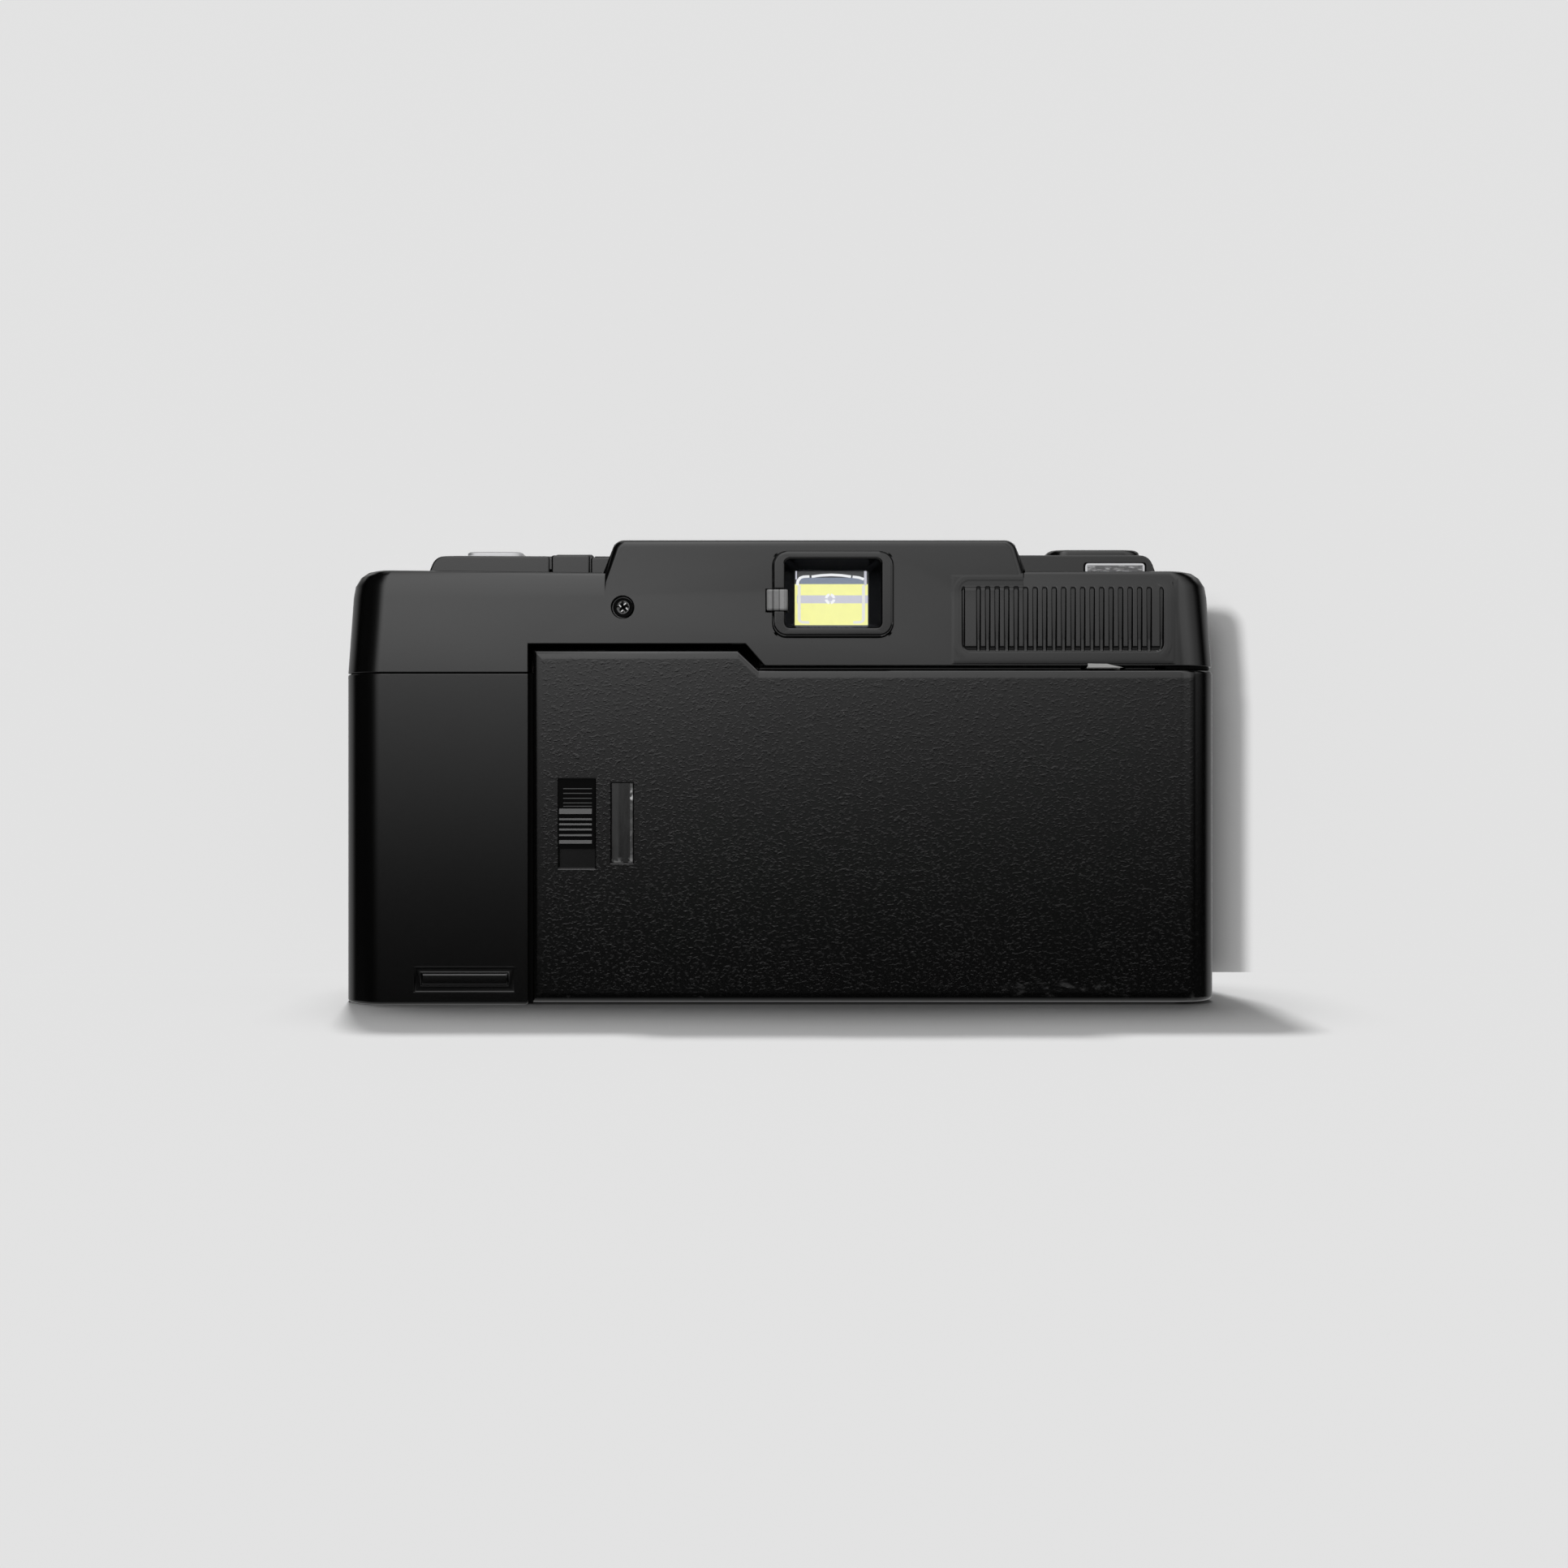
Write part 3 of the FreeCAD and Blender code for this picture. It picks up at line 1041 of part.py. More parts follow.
def lens_unit():
    x, z = lens
    near = s.chassis_front
    blades = near + 5.4
    cover_plate = blades + 1.1

    housing = Piece("shutter_housing", x, 0, z)
    housing.turned("y", Outline().polygon(
        (7.6, near), (s.shutter_radius, near), (s.shutter_radius, cover_plate - 0.05),
        (s.shutter_cavity, cover_plate - 0.05), (s.shutter_cavity, blades),
        (s.aperture_radius, blades)))
    housing.rod("y", (0, s.blade_arm), 0.7, blades - 0.1, cover_plate - 0.05)

    for name, side, start in (("left_blade", -1, blades + 0.2), ("right_blade", 1, blades + 0.65)):
        blade = Piece(name, x, 0, z)
        end = start + 0.25
        blade.rod("y", (s.blade_offset * side, 0), s.blade_radius, start, end)
        blade.pad("rear", Outline().polygon(
            (3.4 * side, 2.0), (1.4 * side, s.blade_arm), (-1.4 * side, s.blade_arm),
            (0.4 * side, 2.0)), start, end)
        blade.rod("y", (0, s.blade_arm), 1.6, start, end)
        blade.rod("y", (0, s.blade_arm), 0.7 + s.running_gap, start - 1.0, end + 1.0, cut=True)

    bore = s.barrel_radius + 0.1
    lip = s.tube_radius + 1.2
    ring_rear = plinth_front + 0.2
    ring_front = ring_rear + s.speed_ring_depth
    tube = Piece("lens_tube", x, 0, z)
    tube.turned("y", Outline().polygon(
        (bore, cover_plate), (s.shutter_radius - 0.2, cover_plate),
        (s.shutter_radius - 0.2, front - 0.1), (s.tube_radius, front - 0.1),
        (s.tube_radius, ring_front + 0.2), (lip, ring_front + 0.2), (lip, s.tube_front - 0.5),
        (lip - 0.5, s.tube_front), (bore, s.tube_front)))

    plinth = Piece("lens_plinth", x, 0, z)
    half = s.plinth_half
    plinth.pad("rear", Outline().rounded(-half, -half, half, half, 3.0), front, plinth_front)
    plinth.chamfer(0.8, within_box((None, (plinth_front, plinth_front), None), 0.01))
    plinth.rod("y", (0, 0), s.tube_radius + 0.15, front - 1.0, plinth_front + 1.0, cut=True)
    eye = half - 4.6
    plinth.rod("y", (-eye, eye), 2.1, plinth_front - 1.2, plinth_front + 1.0, cut=True)

    cell = Piece("meter_cell", x, 0, z)
    cell.rod("y", (-eye, eye), 2.0, plinth_front - 1.2, plinth_front + 0.15)

    ring = Piece("film_speed_ring", x, 0, z)
    ring.turned("y", Outline().polygon(
        (s.tube_radius + 0.1, ring_rear), (s.speed_ring_radius, ring_rear),
        (s.speed_ring_radius, ring_front - 0.9), (s.speed_ring_radius - 0.9, ring_front),
        (s.tube_radius + 0.1, ring_front)))
    notch = ring.box((s.speed_ring_radius - 0.4, ring_rear - 1.0, -0.45),
                     (s.speed_ring_radius + 1.0, ring_front + 1.0, 0.45), cut=True)
    ring.around(notch, "y", 30)

    barrel = Piece("lens_barrel", x, 0, z)
    seat = s.barrel_front - 3.2
    barrel.turned("y", Outline().polygon(
        (s.rear_glass + 0.05, s.barrel_rear), (s.barrel_radius, s.barrel_rear),
        (s.barrel_radius, s.barrel_front), (s.front_glass + 1.0, s.barrel_front),
        (s.front_glass + 0.05, s.barrel_front - 1.0), (s.front_glass + 0.05, seat),
        (s.rear_glass + 0.05, seat)))

    glass = Piece("front_element", x, 0, z)
    glass.rod("y", (0, 0), s.front_glass, seat, s.barrel_front - 0.8)
    glass.chamfer(0.8, within_box((None, (s.barrel_front - 0.8, s.barrel_front - 0.8), None)))
    glass = Piece("rear_element", x, 0, z)
    glass.rod("y", (0, 0), s.rear_glass, s.barrel_rear + 0.4, s.barrel_rear + 2.2)


def self_timer_lamp():
    lamp = Piece("self_timer_lamp", timer_lamp[0], 0, timer_lamp[1])
    lamp.rod("y", (0, 0), 1.95, inner_front, front + 0.2)
    lamp.chamfer(0.4, within_box((None, (front + 0.2, front + 0.2), None)))


def axle_meeting(first, second, reach_first, reach_second, side):
    """Axis at given distances from two others, on the chosen side of their line."""
    across = second[0] - first[0]
    deep = second[1] - first[1]
    span = root(across * across + deep * deep)
    on_line = (reach_first * reach_first - reach_second * reach_second + span * span) / (span * 2)
    off_line = root(reach_first * reach_first - on_line * on_line) * side
    x = first[0] + across / span * on_line - deep / span * off_line
    y = first[1] + deep / span * on_line + across / span * off_line
    return x, y


def reach(teeth_one, teeth_two):
    return s.gear_module * (teeth_one + teeth_two) / 2 + s.mesh_gap


idler = axle_meeting(spool, sprocket, reach(s.spool_teeth, s.small_teeth),
                     reach(s.small_teeth, s.small_teeth), -1)
compound = axle_meeting(spool, motor, reach(s.spool_teeth, s.compound_small_teeth),
                        reach(s.compound_large_teeth, s.pinion_teeth), -1)


def meshing_turn(teeth, turned, at, other_teeth, other_at):
    """Turn that puts a gap of the second gear where the first gear has a tooth."""
    way = math.degrees(math.atan2(other_at[1].value - at[1].value,
                                  other_at[0].value - at[0].value))
    part = (way - turned) * teeth.value / 360
    return way + 180 - (0.5 - part % 1) * 360 / other_teeth.value


def toothed(piece, teeth, level, turn=0.0):
    """Gear with trapezoid teeth, its first tooth turned from the body's X axis."""
    pitch = s.gear_module * teeth / 2
    tip = pitch + s.gear_module * 0.8
    foot = pitch - s.gear_module * 1.1
    top = level + s.gear_width
    piece.rod("z", (0, 0), foot, level, top)
    angle = math.radians(turn)

    def turned(along_x, along_y):
        x = along_x * math.cos(angle) - along_y * math.sin(angle)
        y = along_x * math.sin(angle) + along_y * math.cos(angle)
        return x, y

    base_half = s.gear_module * 0.82
    tip_half = s.gear_module * 0.3
    inner = foot - s.gear_module * 0.4
    tooth = piece.pad("top", Outline().polygon(
        turned(inner, -base_half), turned(tip, -tip_half), turned(tip, tip_half),
        turned(inner, base_half)), level, top)
    piece.around(tooth, "z", teeth)


def film_drive():
    low = s.low_gear_level
    high = s.high_gear_level
    floor = s.chamber_floor + 0.2
    roof = s.chamber_roof - 0.3
    hub = s.spool_radius

    take_up = Piece("take_up_spool", *spool, 0)
    take_up.turned("z", Outline().polygon(
        (0, floor - 1.4), (1.5, floor - 1.4), (1.5, floor), (hub + 1.5, floor),
        (hub + 1.5, floor + 1.0), (hub, floor + 1.0), (hub, roof - 1.0), (hub + 1.5, roof - 1.0),
        (hub + 1.5, roof), (2.0, roof), (2.0, low + 0.5), (0, low + 0.5)))
    slot = take_up.box((hub - 1.3, -0.8, floor + 6.0), (hub + 1.0, 0.8, roof - 6.0), cut=True)
    take_up.around(slot, "z", 4)
    toothed(take_up, s.spool_teeth, low)

    drum = s.sprocket_radius
    wheel_turn = meshing_turn(s.spool_teeth, 0, spool, s.small_teeth, idler)
    last_turn = meshing_turn(s.small_teeth, wheel_turn, idler, s.small_teeth, sprocket)
    wheel = Piece("sprocket", *sprocket, 0)
    row_low = s.lens_height - s.perforation_rows / 2
    row_high = s.lens_height + s.perforation_rows / 2
    wheel.turned("z", Outline().polygon(
        (0, floor - 1.4), (1.5, floor - 1.4), (1.5, floor), (drum, floor), (drum, row_low + 3.0),
        (drum - 0.8, row_low + 4.0), (drum - 0.8, row_high - 4.0), (drum, row_high - 3.0),
        (drum, roof), (1.5, roof), (1.5, low + 0.5), (0, low + 0.5)))
    for row in (row_low, row_high):
        tooth = wheel.pad("top", Outline().polygon(
            (drum - 0.4, -0.8), (drum + 1.2, -0.35), (drum + 1.2, 0.35), (drum - 0.4, 0.8)),
            row - 0.8, row + 0.8)
        wheel.around(tooth, "z", s.sprocket_teeth)
    toothed(wheel, s.small_teeth, low, last_turn)

    bore = 0.8 + s.running_gap
    gear = Piece("idler_gear", *idler, 0)
    toothed(gear, s.small_teeth, low, wheel_turn)
    gear.rod("z", (0, 0), bore, low - 1.0, low + 4.0, cut=True)

    small_turn = meshing_turn(s.spool_teeth, 0, spool, s.compound_small_teeth, compound)
    gear = Piece("compound_gear", *compound, 0)
    toothed(gear, s.compound_small_teeth, low, small_turn)
    gear.rod("z", (0, 0), 2.0, low + 1.0, high + 0.5)
    toothed(gear, s.compound_large_teeth, high, small_turn)
    gear.rod("z", (0, 0), bore, low - 1.0, high + 4.0, cut=True)

    pinion_turn = meshing_turn(s.compound_large_teeth, small_turn, compound,
                               s.pinion_teeth, motor)
    pinion = Piece("motor_pinion", *motor, 0)
    toothed(pinion, s.pinion_teeth, high, pinion_turn)
    pinion.rod("z", (0, 0), 0.75, 45.0, high + s.gear_width + 0.4)

    posts = Piece("gear_posts")
    posts.rod("z", idler, 0.8, s.chassis_top, low + s.gear_width + 0.4)
    posts.rod("z", idler, 1.6, s.chassis_top, low - 0.1)
    posts.rod("z", compound, 0.8, s.chassis_top, high + s.gear_width + 0.4)
    posts.rod("z", compound, 1.6, s.chassis_top, low - 0.1)

    fork = Piece("rewind_fork", *cassette, 0)
    level = tab_seam + 0.8
    fork.rod("z", (0, 0), 1.5, s.chamber_roof - 5.0, level + 0.5)
    fork.box((-2.6, -0.7, s.chamber_roof - 7.0), (2.6, 0.7, s.chamber_roof - 4.0))
    fork.box((-0.8, -1.0, s.chamber_roof - 8.0), (0.8, 1.0, s.chamber_roof - 5.5), cut=True)
    toothed(fork, s.small_teeth, level)


def controls():
    top = right_platform_top + s.shutter_button_rise
    button = Piece("shutter_button", *shutter_button, 0)
    button.rod("z", (0, 0), s.shutter_button_radius, top - 1.35, top)
    button.chamfer(0.7, within_box((None, None, (top, top)), 0.01))
    button.rod("z", (stem_x - s.shutter_across, 0), 1.4, s.high_gear_level + 3.4, top - 1.0)

    top = left_platform_top + s.timer_button_rise
    button = Piece("timer_button", *timer_button, 0)
    button.rod("z", (0, 0), s.timer_button_radius, top - 2.1, top)
    button.chamfer(0.4, within_box((None, None, (top, top)), 0.01))
    button.rod("z", (0, 0), 1.5, s.high_gear_level + 3.0, top - 1.5)

    top = left_platform_top + 0.25
    key = Piece("flash_switch")
    key.box((-s.switch_left, platform_rear, s.shoulder_height + 0.15),
            (-s.switch_right, platform_rear + 10.5, top))
    key.fillet(0.4, within_box((None, None, (top, top)), 0.01))
    groove = key.box((-s.switch_left - 1.0, platform_rear + 2.0, top - 0.35),
                     (-s.switch_right + 1.0, platform_rear + 2.6, top + 1.0), cut=True)
    key.repeat(groove, "y", 6.0, 6)

    bottom = ceiling + 0.3
    bracket = Piece("counter_bracket")
    bracket.box((s.counter_across - s.counter_radius, platform_rear + 1.6, ceiling - 0.8),
                (s.right_platform_end + 1.5, -8.0, ceiling))
    bracket.rod("z", counter, 0.8, ceiling - 0.4, bottom + 2.1)
    dial = Piece("counter_dial", *counter, 0)
    dial.rod("z", (0, 0), s.counter_radius, bottom, bottom + 2.1)
    dial.rod("z", (0, 0), 0.8 + s.running_gap, bottom - 1.0, bottom + 3.0, cut=True)

    half = s.window_width / 2 - 0.05
    low = s.shoulder_height + 0.1
    pane = Piece("counter_window")
    pane.box((s.window_across - half, platform_rear + 0.1, low),
             (s.window_across + half, platform_rear + 1.1, right_platform_top - 1.15))
    pane.fillet(0.7, along("y", (None, None, (right_platform_top - 1.15,
                                              right_platform_top - 1.15))))

    lever = Piece("counter_reset_lever")
    start = s.shutter_across
    lever_end = -s.spool_depth - 2.8
    lever.pad("top", Outline().polygon(
        (start, rear + 0.5), (start + 5.0, rear + 0.5), (start + 6.1, rear + 2.0),
        (start + 6.1, lever_end), (start, lever_end)),
        s.chassis_top + 0.28, s.chassis_top + 0.58)


def back_door():
    door = Piece("door_panel")
    low = s.door_bottom
    high = s.door_tab_top
    end = hinge_y - s.knuckle_reach - 0.3
    door.pad("top", Outline().rectangle(door_left, door_rear, right, end), low, high)
    door.fillet(s.corner, along("z", ((right, right), (door_rear, door_rear), None)))
    door.pocket("rear", Outline().polygon(
        (-s.tab_right_low, s.door_top), (right + 1.0, s.door_top), (right + 1.0, high + 1.0),
        (-s.tab_right_high, high + 1.0), (-s.tab_right_high, high)), door_rear - 1.0, 0)
    door.fillet(s.door_edge_round, lambda edge: inside(edge, (None, (door_rear, door_rear), None))
                and edge.Curve.TypeId == "Part::GeomLine" and edge.BoundBox.ZLength < 60
                and edge.BoundBox.XMax < right.value - s.corner.value + 0.1
                and not (edge.BoundBox.ZLength > 40 and edge.BoundBox.XMin > 0))
    door.pocket("top", Outline().rounded(
        door_left - s.corner, door_inner, right - s.wall, end + s.corner,
        s.corner - s.wall), low - 1.0, high + 1.0)

    # rim that reaches into the light traps
    rim = door_rear + s.door_rim
    start = door_inner - 0.3
    thick = 1.2
    door.box((door_left, start, low), (right - s.corner, rim, low + thick))
    door.box((door_left, start, low), (door_left + thick, rim, high))
    door.box((door_left, start, high - thick), (-s.tab_right_high, rim, high))
    door.box((-s.tab_right_high - thick, start, s.door_top - thick), (right - s.corner, rim, s.door_top))
    door.box((-s.tab_right_high - thick, start, s.door_top - 0.1), (-s.tab_right_high, rim, high))

    # hinge knuckles
    bore = s.pin_radius + s.running_gap
    for start_z, end_z in ((4.0, 11.8), (39.2, 46.6)):
        door.rod("z", (hinge_x, hinge_y), s.knuckle_reach, start_z, end_z)
        door.box((right - s.wall, end - 0.1, start_z), (right, hinge_y, end_z))
        door.rod("z", (hinge_x, hinge_y), bore, start_z - 1.0, end_z + 0.1, cut=True)

    # latch slot, its guides, and the film window
    through = (door_rear - 1.0, door_inner + 0.1)
    door.box((-s.slot_left, through[0], s.slot_bottom), (-s.slot_right, through[1], s.slot_top),
             cut=True)
    for x in (-s.slot_left - 2.6, -s.slot_right + 1.7):
        door.box((x, door_inner - 0.1, s.slot_bottom - 6.0),
                 (x + 0.5, door_inner + 1.0, s.slot_top + 6.0))
    door.box((-s.view_slit_left, through[0], s.view_slit_bottom),
             (-s.view_slit_right, through[1], s.view_slit_top), cut=True)

    pane = Piece("door_window")
    pane.box((-s.view_slit_left + 0.05, door_rear + 0.3, s.view_slit_bottom + 0.05),
             (-s.view_slit_right - 0.05, door_inner - 0.1, s.view_slit_top - 0.05))

    foam = Piece("window_seal")
    foam.box((-s.slot_right + 2.3, door_inner, s.view_slit_bottom - 1.4),
             (-s.view_slit_right + 1.2, door_inner + 0.9, s.view_slit_top + 1.4))
    foam.box((-s.view_slit_left + 0.2, door_inner - 1.0, s.view_slit_bottom),
             (-s.view_slit_right, door_inner + 2.0, s.view_slit_top), cut=True)

    x, z = lens
    plate_rear = chassis_rear - s.inner_rail - 1.2
    plate = Piece("pressure_plate")
    plate.pad("rear", Outline().rounded(x - 20.0, z - 17.2, x + 20.0, z + 17.2, 2.0),
              plate_rear, plate_rear + 1.0)
    springs = Piece("pressure_springs")
    lift = 0.65
    thin = 0.2
    arch = Outline().polygon(
        (x - 15.5, door_inner), (x - 12.5, door_inner), (x - 6.5, door_inner + lift),
        (x + 6.5, door_inner + lift), (x + 12.5, door_inner), (x + 15.5, door_inner),
        (x + 15.5, door_inner + thin), (x + 12.4, door_inner + thin),
        (x + 6.4, door_inner + lift + thin), (x - 6.4, door_inner + lift + thin),
        (x - 12.4, door_inner + thin), (x - 15.5, door_inner + thin))
    for side in (-1, 1):
        springs.pad("top", arch, z + 8.0 * side - 2.0, z + 8.0 * side + 2.0)

    latch = Piece("door_latch")
    back = door_inner + 0.1
    latch.box((-s.slot_left - 1.8, back, s.slot_bottom - 1.5),
              (-s.slot_right + 1.5, back + 0.8, s.slot_top + 3.0))
    face = door_rear + 0.3
    grip = latch.box((-s.slot_left + 0.25, face + 0.5, s.latch_bottom),
                     (-s.slot_right - 0.25, back + 0.1, s.latch_top))
    bar = (s.latch_top - s.latch_bottom) / 6
    ridge = latch.pad("side", Outline().polygon(
        (face + 0.6, s.latch_bottom), (face, s.latch_bottom + 0.15),
        (face, s.latch_bottom + bar * 0.5), (face + 0.6, s.latch_bottom + bar * 0.65)),
        -s.slot_left + 0.25, -s.slot_right - 0.25)
    latch.repeat(ridge, "z", bar * 5, 6)
    for z_hook in (s.slot_bottom - 1.0, s.slot_top):
        latch.box((-s.slot_left - 2.0, back, z_hook), (-s.slot_left - 1.2, -18.6, z_hook + 2.4))
    return grip


top_cover()
eyepiece_frame()
eyepiece_lens()
viewfinder_housing()
thumb_rest()
flash_ready_lamp()
front_window()
af_lenses()
flash_unit()
cover_screw()
side_cover()
battery_door()
battery_bay()
front_cover()
base_plate()
base_fittings()
chassis()
small_inner_pieces()
lens_unit()
self_timer_lamp()
film_drive()
controls()
back_door()

doc.recompute()
for item in doc.Objects:
    if "Invalid" in item.State or "Error" in item.State:
        raise RuntimeError(f"{item.Label} failed: {item.State}")
for feature in cutting:
    before = feature.BaseFeature
    if before is not None and before.Shape.Volume - feature.Shape.Volume < 1e-6:
        raise RuntimeError(f"{feature.Name} cuts nothing from {before.Name}")
for part in parts:
    if part.Shape.isNull() or not part.Shape.isValid():
        raise RuntimeError(f"{part.Label} has no valid shape")
for part in parts:
    part.Shape.exportStep(f"parts/{part.Label}.step")
    box = part.Shape.BoundBox
    print(f"{part.Label}: {len(part.Shape.Solids)} solids, {part.Shape.Volume:.1f} mm3, "
          f"x {box.XMin:.2f} {box.XMax:.2f} y {box.YMin:.2f} {box.YMax:.2f} "
          f"z {box.ZMin:.2f} {box.ZMax:.2f}")
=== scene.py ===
import json
import math

import bmesh
import bpy
import numpy as np
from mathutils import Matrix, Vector


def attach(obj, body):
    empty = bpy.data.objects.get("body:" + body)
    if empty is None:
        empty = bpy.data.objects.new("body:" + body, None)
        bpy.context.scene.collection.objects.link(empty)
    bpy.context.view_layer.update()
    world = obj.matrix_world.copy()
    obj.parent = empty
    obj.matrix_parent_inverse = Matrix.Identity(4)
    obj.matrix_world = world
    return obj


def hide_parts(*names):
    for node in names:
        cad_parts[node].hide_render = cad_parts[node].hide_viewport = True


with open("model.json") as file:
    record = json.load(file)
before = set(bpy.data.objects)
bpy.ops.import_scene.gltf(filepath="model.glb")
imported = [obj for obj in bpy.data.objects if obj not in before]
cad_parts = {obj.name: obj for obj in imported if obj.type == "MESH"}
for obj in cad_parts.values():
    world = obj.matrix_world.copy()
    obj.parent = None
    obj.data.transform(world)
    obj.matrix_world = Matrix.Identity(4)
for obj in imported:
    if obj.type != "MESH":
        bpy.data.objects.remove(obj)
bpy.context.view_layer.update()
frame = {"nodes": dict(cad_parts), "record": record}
nodes = frame["nodes"]
bodies = frame["record"]["behaviour"]["bodies"]
bodyOf = {name: body for body, names in bodies.items() for name in names}
mm = 0.001
scene = bpy.context.scene
scene.view_settings.view_transform = "Standard"
print("frame:", len(nodes), "nodes")


# a method of Flow that adds one Math node; a reflected one takes its values the other way
def mathNode(operation, reflected=False):
    def method(self, other=None):
        values = (other, self) if reflected else (self, other)
        return self.finish.node("Math", {"operation": operation}, *values)
    return method


class Flow:
    # a number flowing through a material; Python's operators on it add Math nodes
    def __init__(self, finish, socket):
        self.finish = finish
        self.socket = socket

    __add__ = __radd__ = mathNode("ADD")
    __sub__ = mathNode("SUBTRACT")
    __rsub__ = mathNode("SUBTRACT", True)
    __mul__ = __rmul__ = mathNode("MULTIPLY")
    __truediv__ = mathNode("DIVIDE")
    __pow__ = mathNode("POWER")
    __abs__ = mathNode("ABSOLUTE")
    low = mathNode("MINIMUM")
    high = mathNode("MAXIMUM")

    def ramp(self, start, end):
        # 0 before start, 1 after end, smooth between them
        return self.finish.node("MapRange", {"interpolation_type": "SMOOTHSTEP"},
                                self, start, end, 0.0, 1.0)

    def near(self, middle, full, last):
        # 1 within full of the middle, 0 further from it than last
        return 1 - abs(self - middle).ramp(full, last)


class Finish:
    # one material or world, with its nodes made by node()
    def __init__(self, name, holder=None):
        self.material = holder or bpy.data.materials.new(name)
        self.material.use_nodes = True
        self.tree = self.material.node_tree
        self.shader = self.tree.nodes.get("Principled BSDF")

    def node(self, kind, settings, *values, output=0, **named):
        node = self.tree.nodes.new("ShaderNode" + kind)
        for key, value in settings.items():
            if key == "stops":
                self.stops(node.color_ramp, value)
            else:
                setattr(node, key, value)
        for place, value in list(enumerate(values)) + list(named.items()):
            self.feed(node.inputs[place], value)
        return Flow(self, node.outputs[output])

    def stops(self, ramp, stops):
        while len(ramp.elements) < len(stops):
            ramp.elements.new(1.0)
        for element, (place, value) in zip(ramp.elements, stops):
            element.position = place
            element.color = grey(value)

    def feed(self, socket, value):
        if isinstance(value, Flow):
            self.tree.links.new(value.socket, socket)
        elif value is not None:
            socket.default_value = value

    def place(self, scale=(1, 1, 1), turn=(0, 0, 0)):
        # Object coordinates in metres, turned and stretched for one pattern
        coords = self.node("TexCoord", {}, output=3)
        return self.node("Mapping", {}, coords, None, turn, scale)

    def parts(self, vector):
        # the three numbers of a vector or a colour
        split = self.node("SeparateXYZ", {}, vector)
        return [Flow(self, socket) for socket in split.socket.node.outputs]

    def across(self):
        # the three Object coordinates, in millimetres
        return [part * 1000 for part in self.parts(self.node("TexCoord", {}, output=3))]

    def noise(self, size, detail=2.0, rough=0.5, scale=(1, 1, 1), turn=(0, 0, 0)):
        # size in metres of one wave of the noise
        return self.node("TexNoise", {}, self.place(scale, turn), None, 1 / size, detail, rough)

    def specks(self, spacing, radius, share):
        # up to 1 in the middles of a share of the cells, 0 elsewhere; sizes in metres
        cells = self.node("TexVoronoi", {}, self.place(), Scale=1 / spacing)
        pick, size = self.parts(Flow(self, cells.socket.node.outputs["Color"]))[:2]
        dot = 1 - (cells * spacing).ramp(radius / 2, radius)
        return dot * pick.ramp(1 - share, 1.001 - share) * size

    def mix(self, factor, first, second):
        # the five sockets after the factor are for numbers and vectors
        return self.node("Mix", {"data_type": "RGBA"}, factor, *[None] * 5, first, second,
                         output=2)

    def shade(self, tone, white=(1, 1, 1, 1)):
        # black at 0, white at 1
        return self.mix(tone, grey(0.0), white)

    def bump(self, height, depth, strength=1.0, under=None):
        # height is 0 to 1, depth in metres
        return self.node("Bump", {}, strength, depth, Height=height, Normal=under)

    def set(self, **sockets):
        for name, value in sockets.items():
            self.feed(self.shader.inputs[name.replace("_", " ")], value)
        return self.material


def grey(value):
    return (value, value, value, 1)


# a new object of the scene with its mesh, lens or lamp
def placed(name, data):
    thing = bpy.data.objects.new(name, data)
    scene.collection.objects.link(thing)
    return thing


# how meshes are joined and rounded
meshWork = {
    "same": 2e-6,           # metres: points nearer than this are one
    "flat": 0.6,            # degrees: triangles within this make one face
    "corner": 28,           # degrees: edges sharper than this are rounded
    "usualEdge": 0.06,      # millimetres
    "segments": 2,
    "largeFaces": 90,       # how much more large faces count in the shading
}


# one copy of a CAD node, its triangles joined again and its edges rounded
def softened(name, width):
    mesh = nodes[name].data.copy()
    mesh.materials.clear()
    work = bmesh.new()
    work.from_mesh(mesh)
    bmesh.ops.remove_doubles(work, verts=work.verts, dist=meshWork["same"])
    bmesh.ops.dissolve_limit(work, angle_limit=math.radians(meshWork["flat"]),
                             verts=work.verts, edges=work.edges)
    work.to_mesh(mesh)
    work.free()
    mesh.shade_smooth()
    piece = placed(name + "Shape", mesh)
    if width:
        bevel = piece.modifiers.new("edges", "BEVEL")
        bevel.width = width * mm
        bevel.segments = meshWork["segments"]
        bevel.limit_method = "ANGLE"
        bevel.angle_limit = math.radians(meshWork["corner"])
        bevel.use_clamp_overlap = False
        flat = piece.modifiers.new("flat faces", "WEIGHTED_NORMAL")
        flat.weight = meshWork["largeFaces"]
    else:
        mesh.set_sharp_from_angle(angle=math.radians(meshWork["corner"]))
    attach(piece, bodyOf[name])
    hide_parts(name)
    return piece


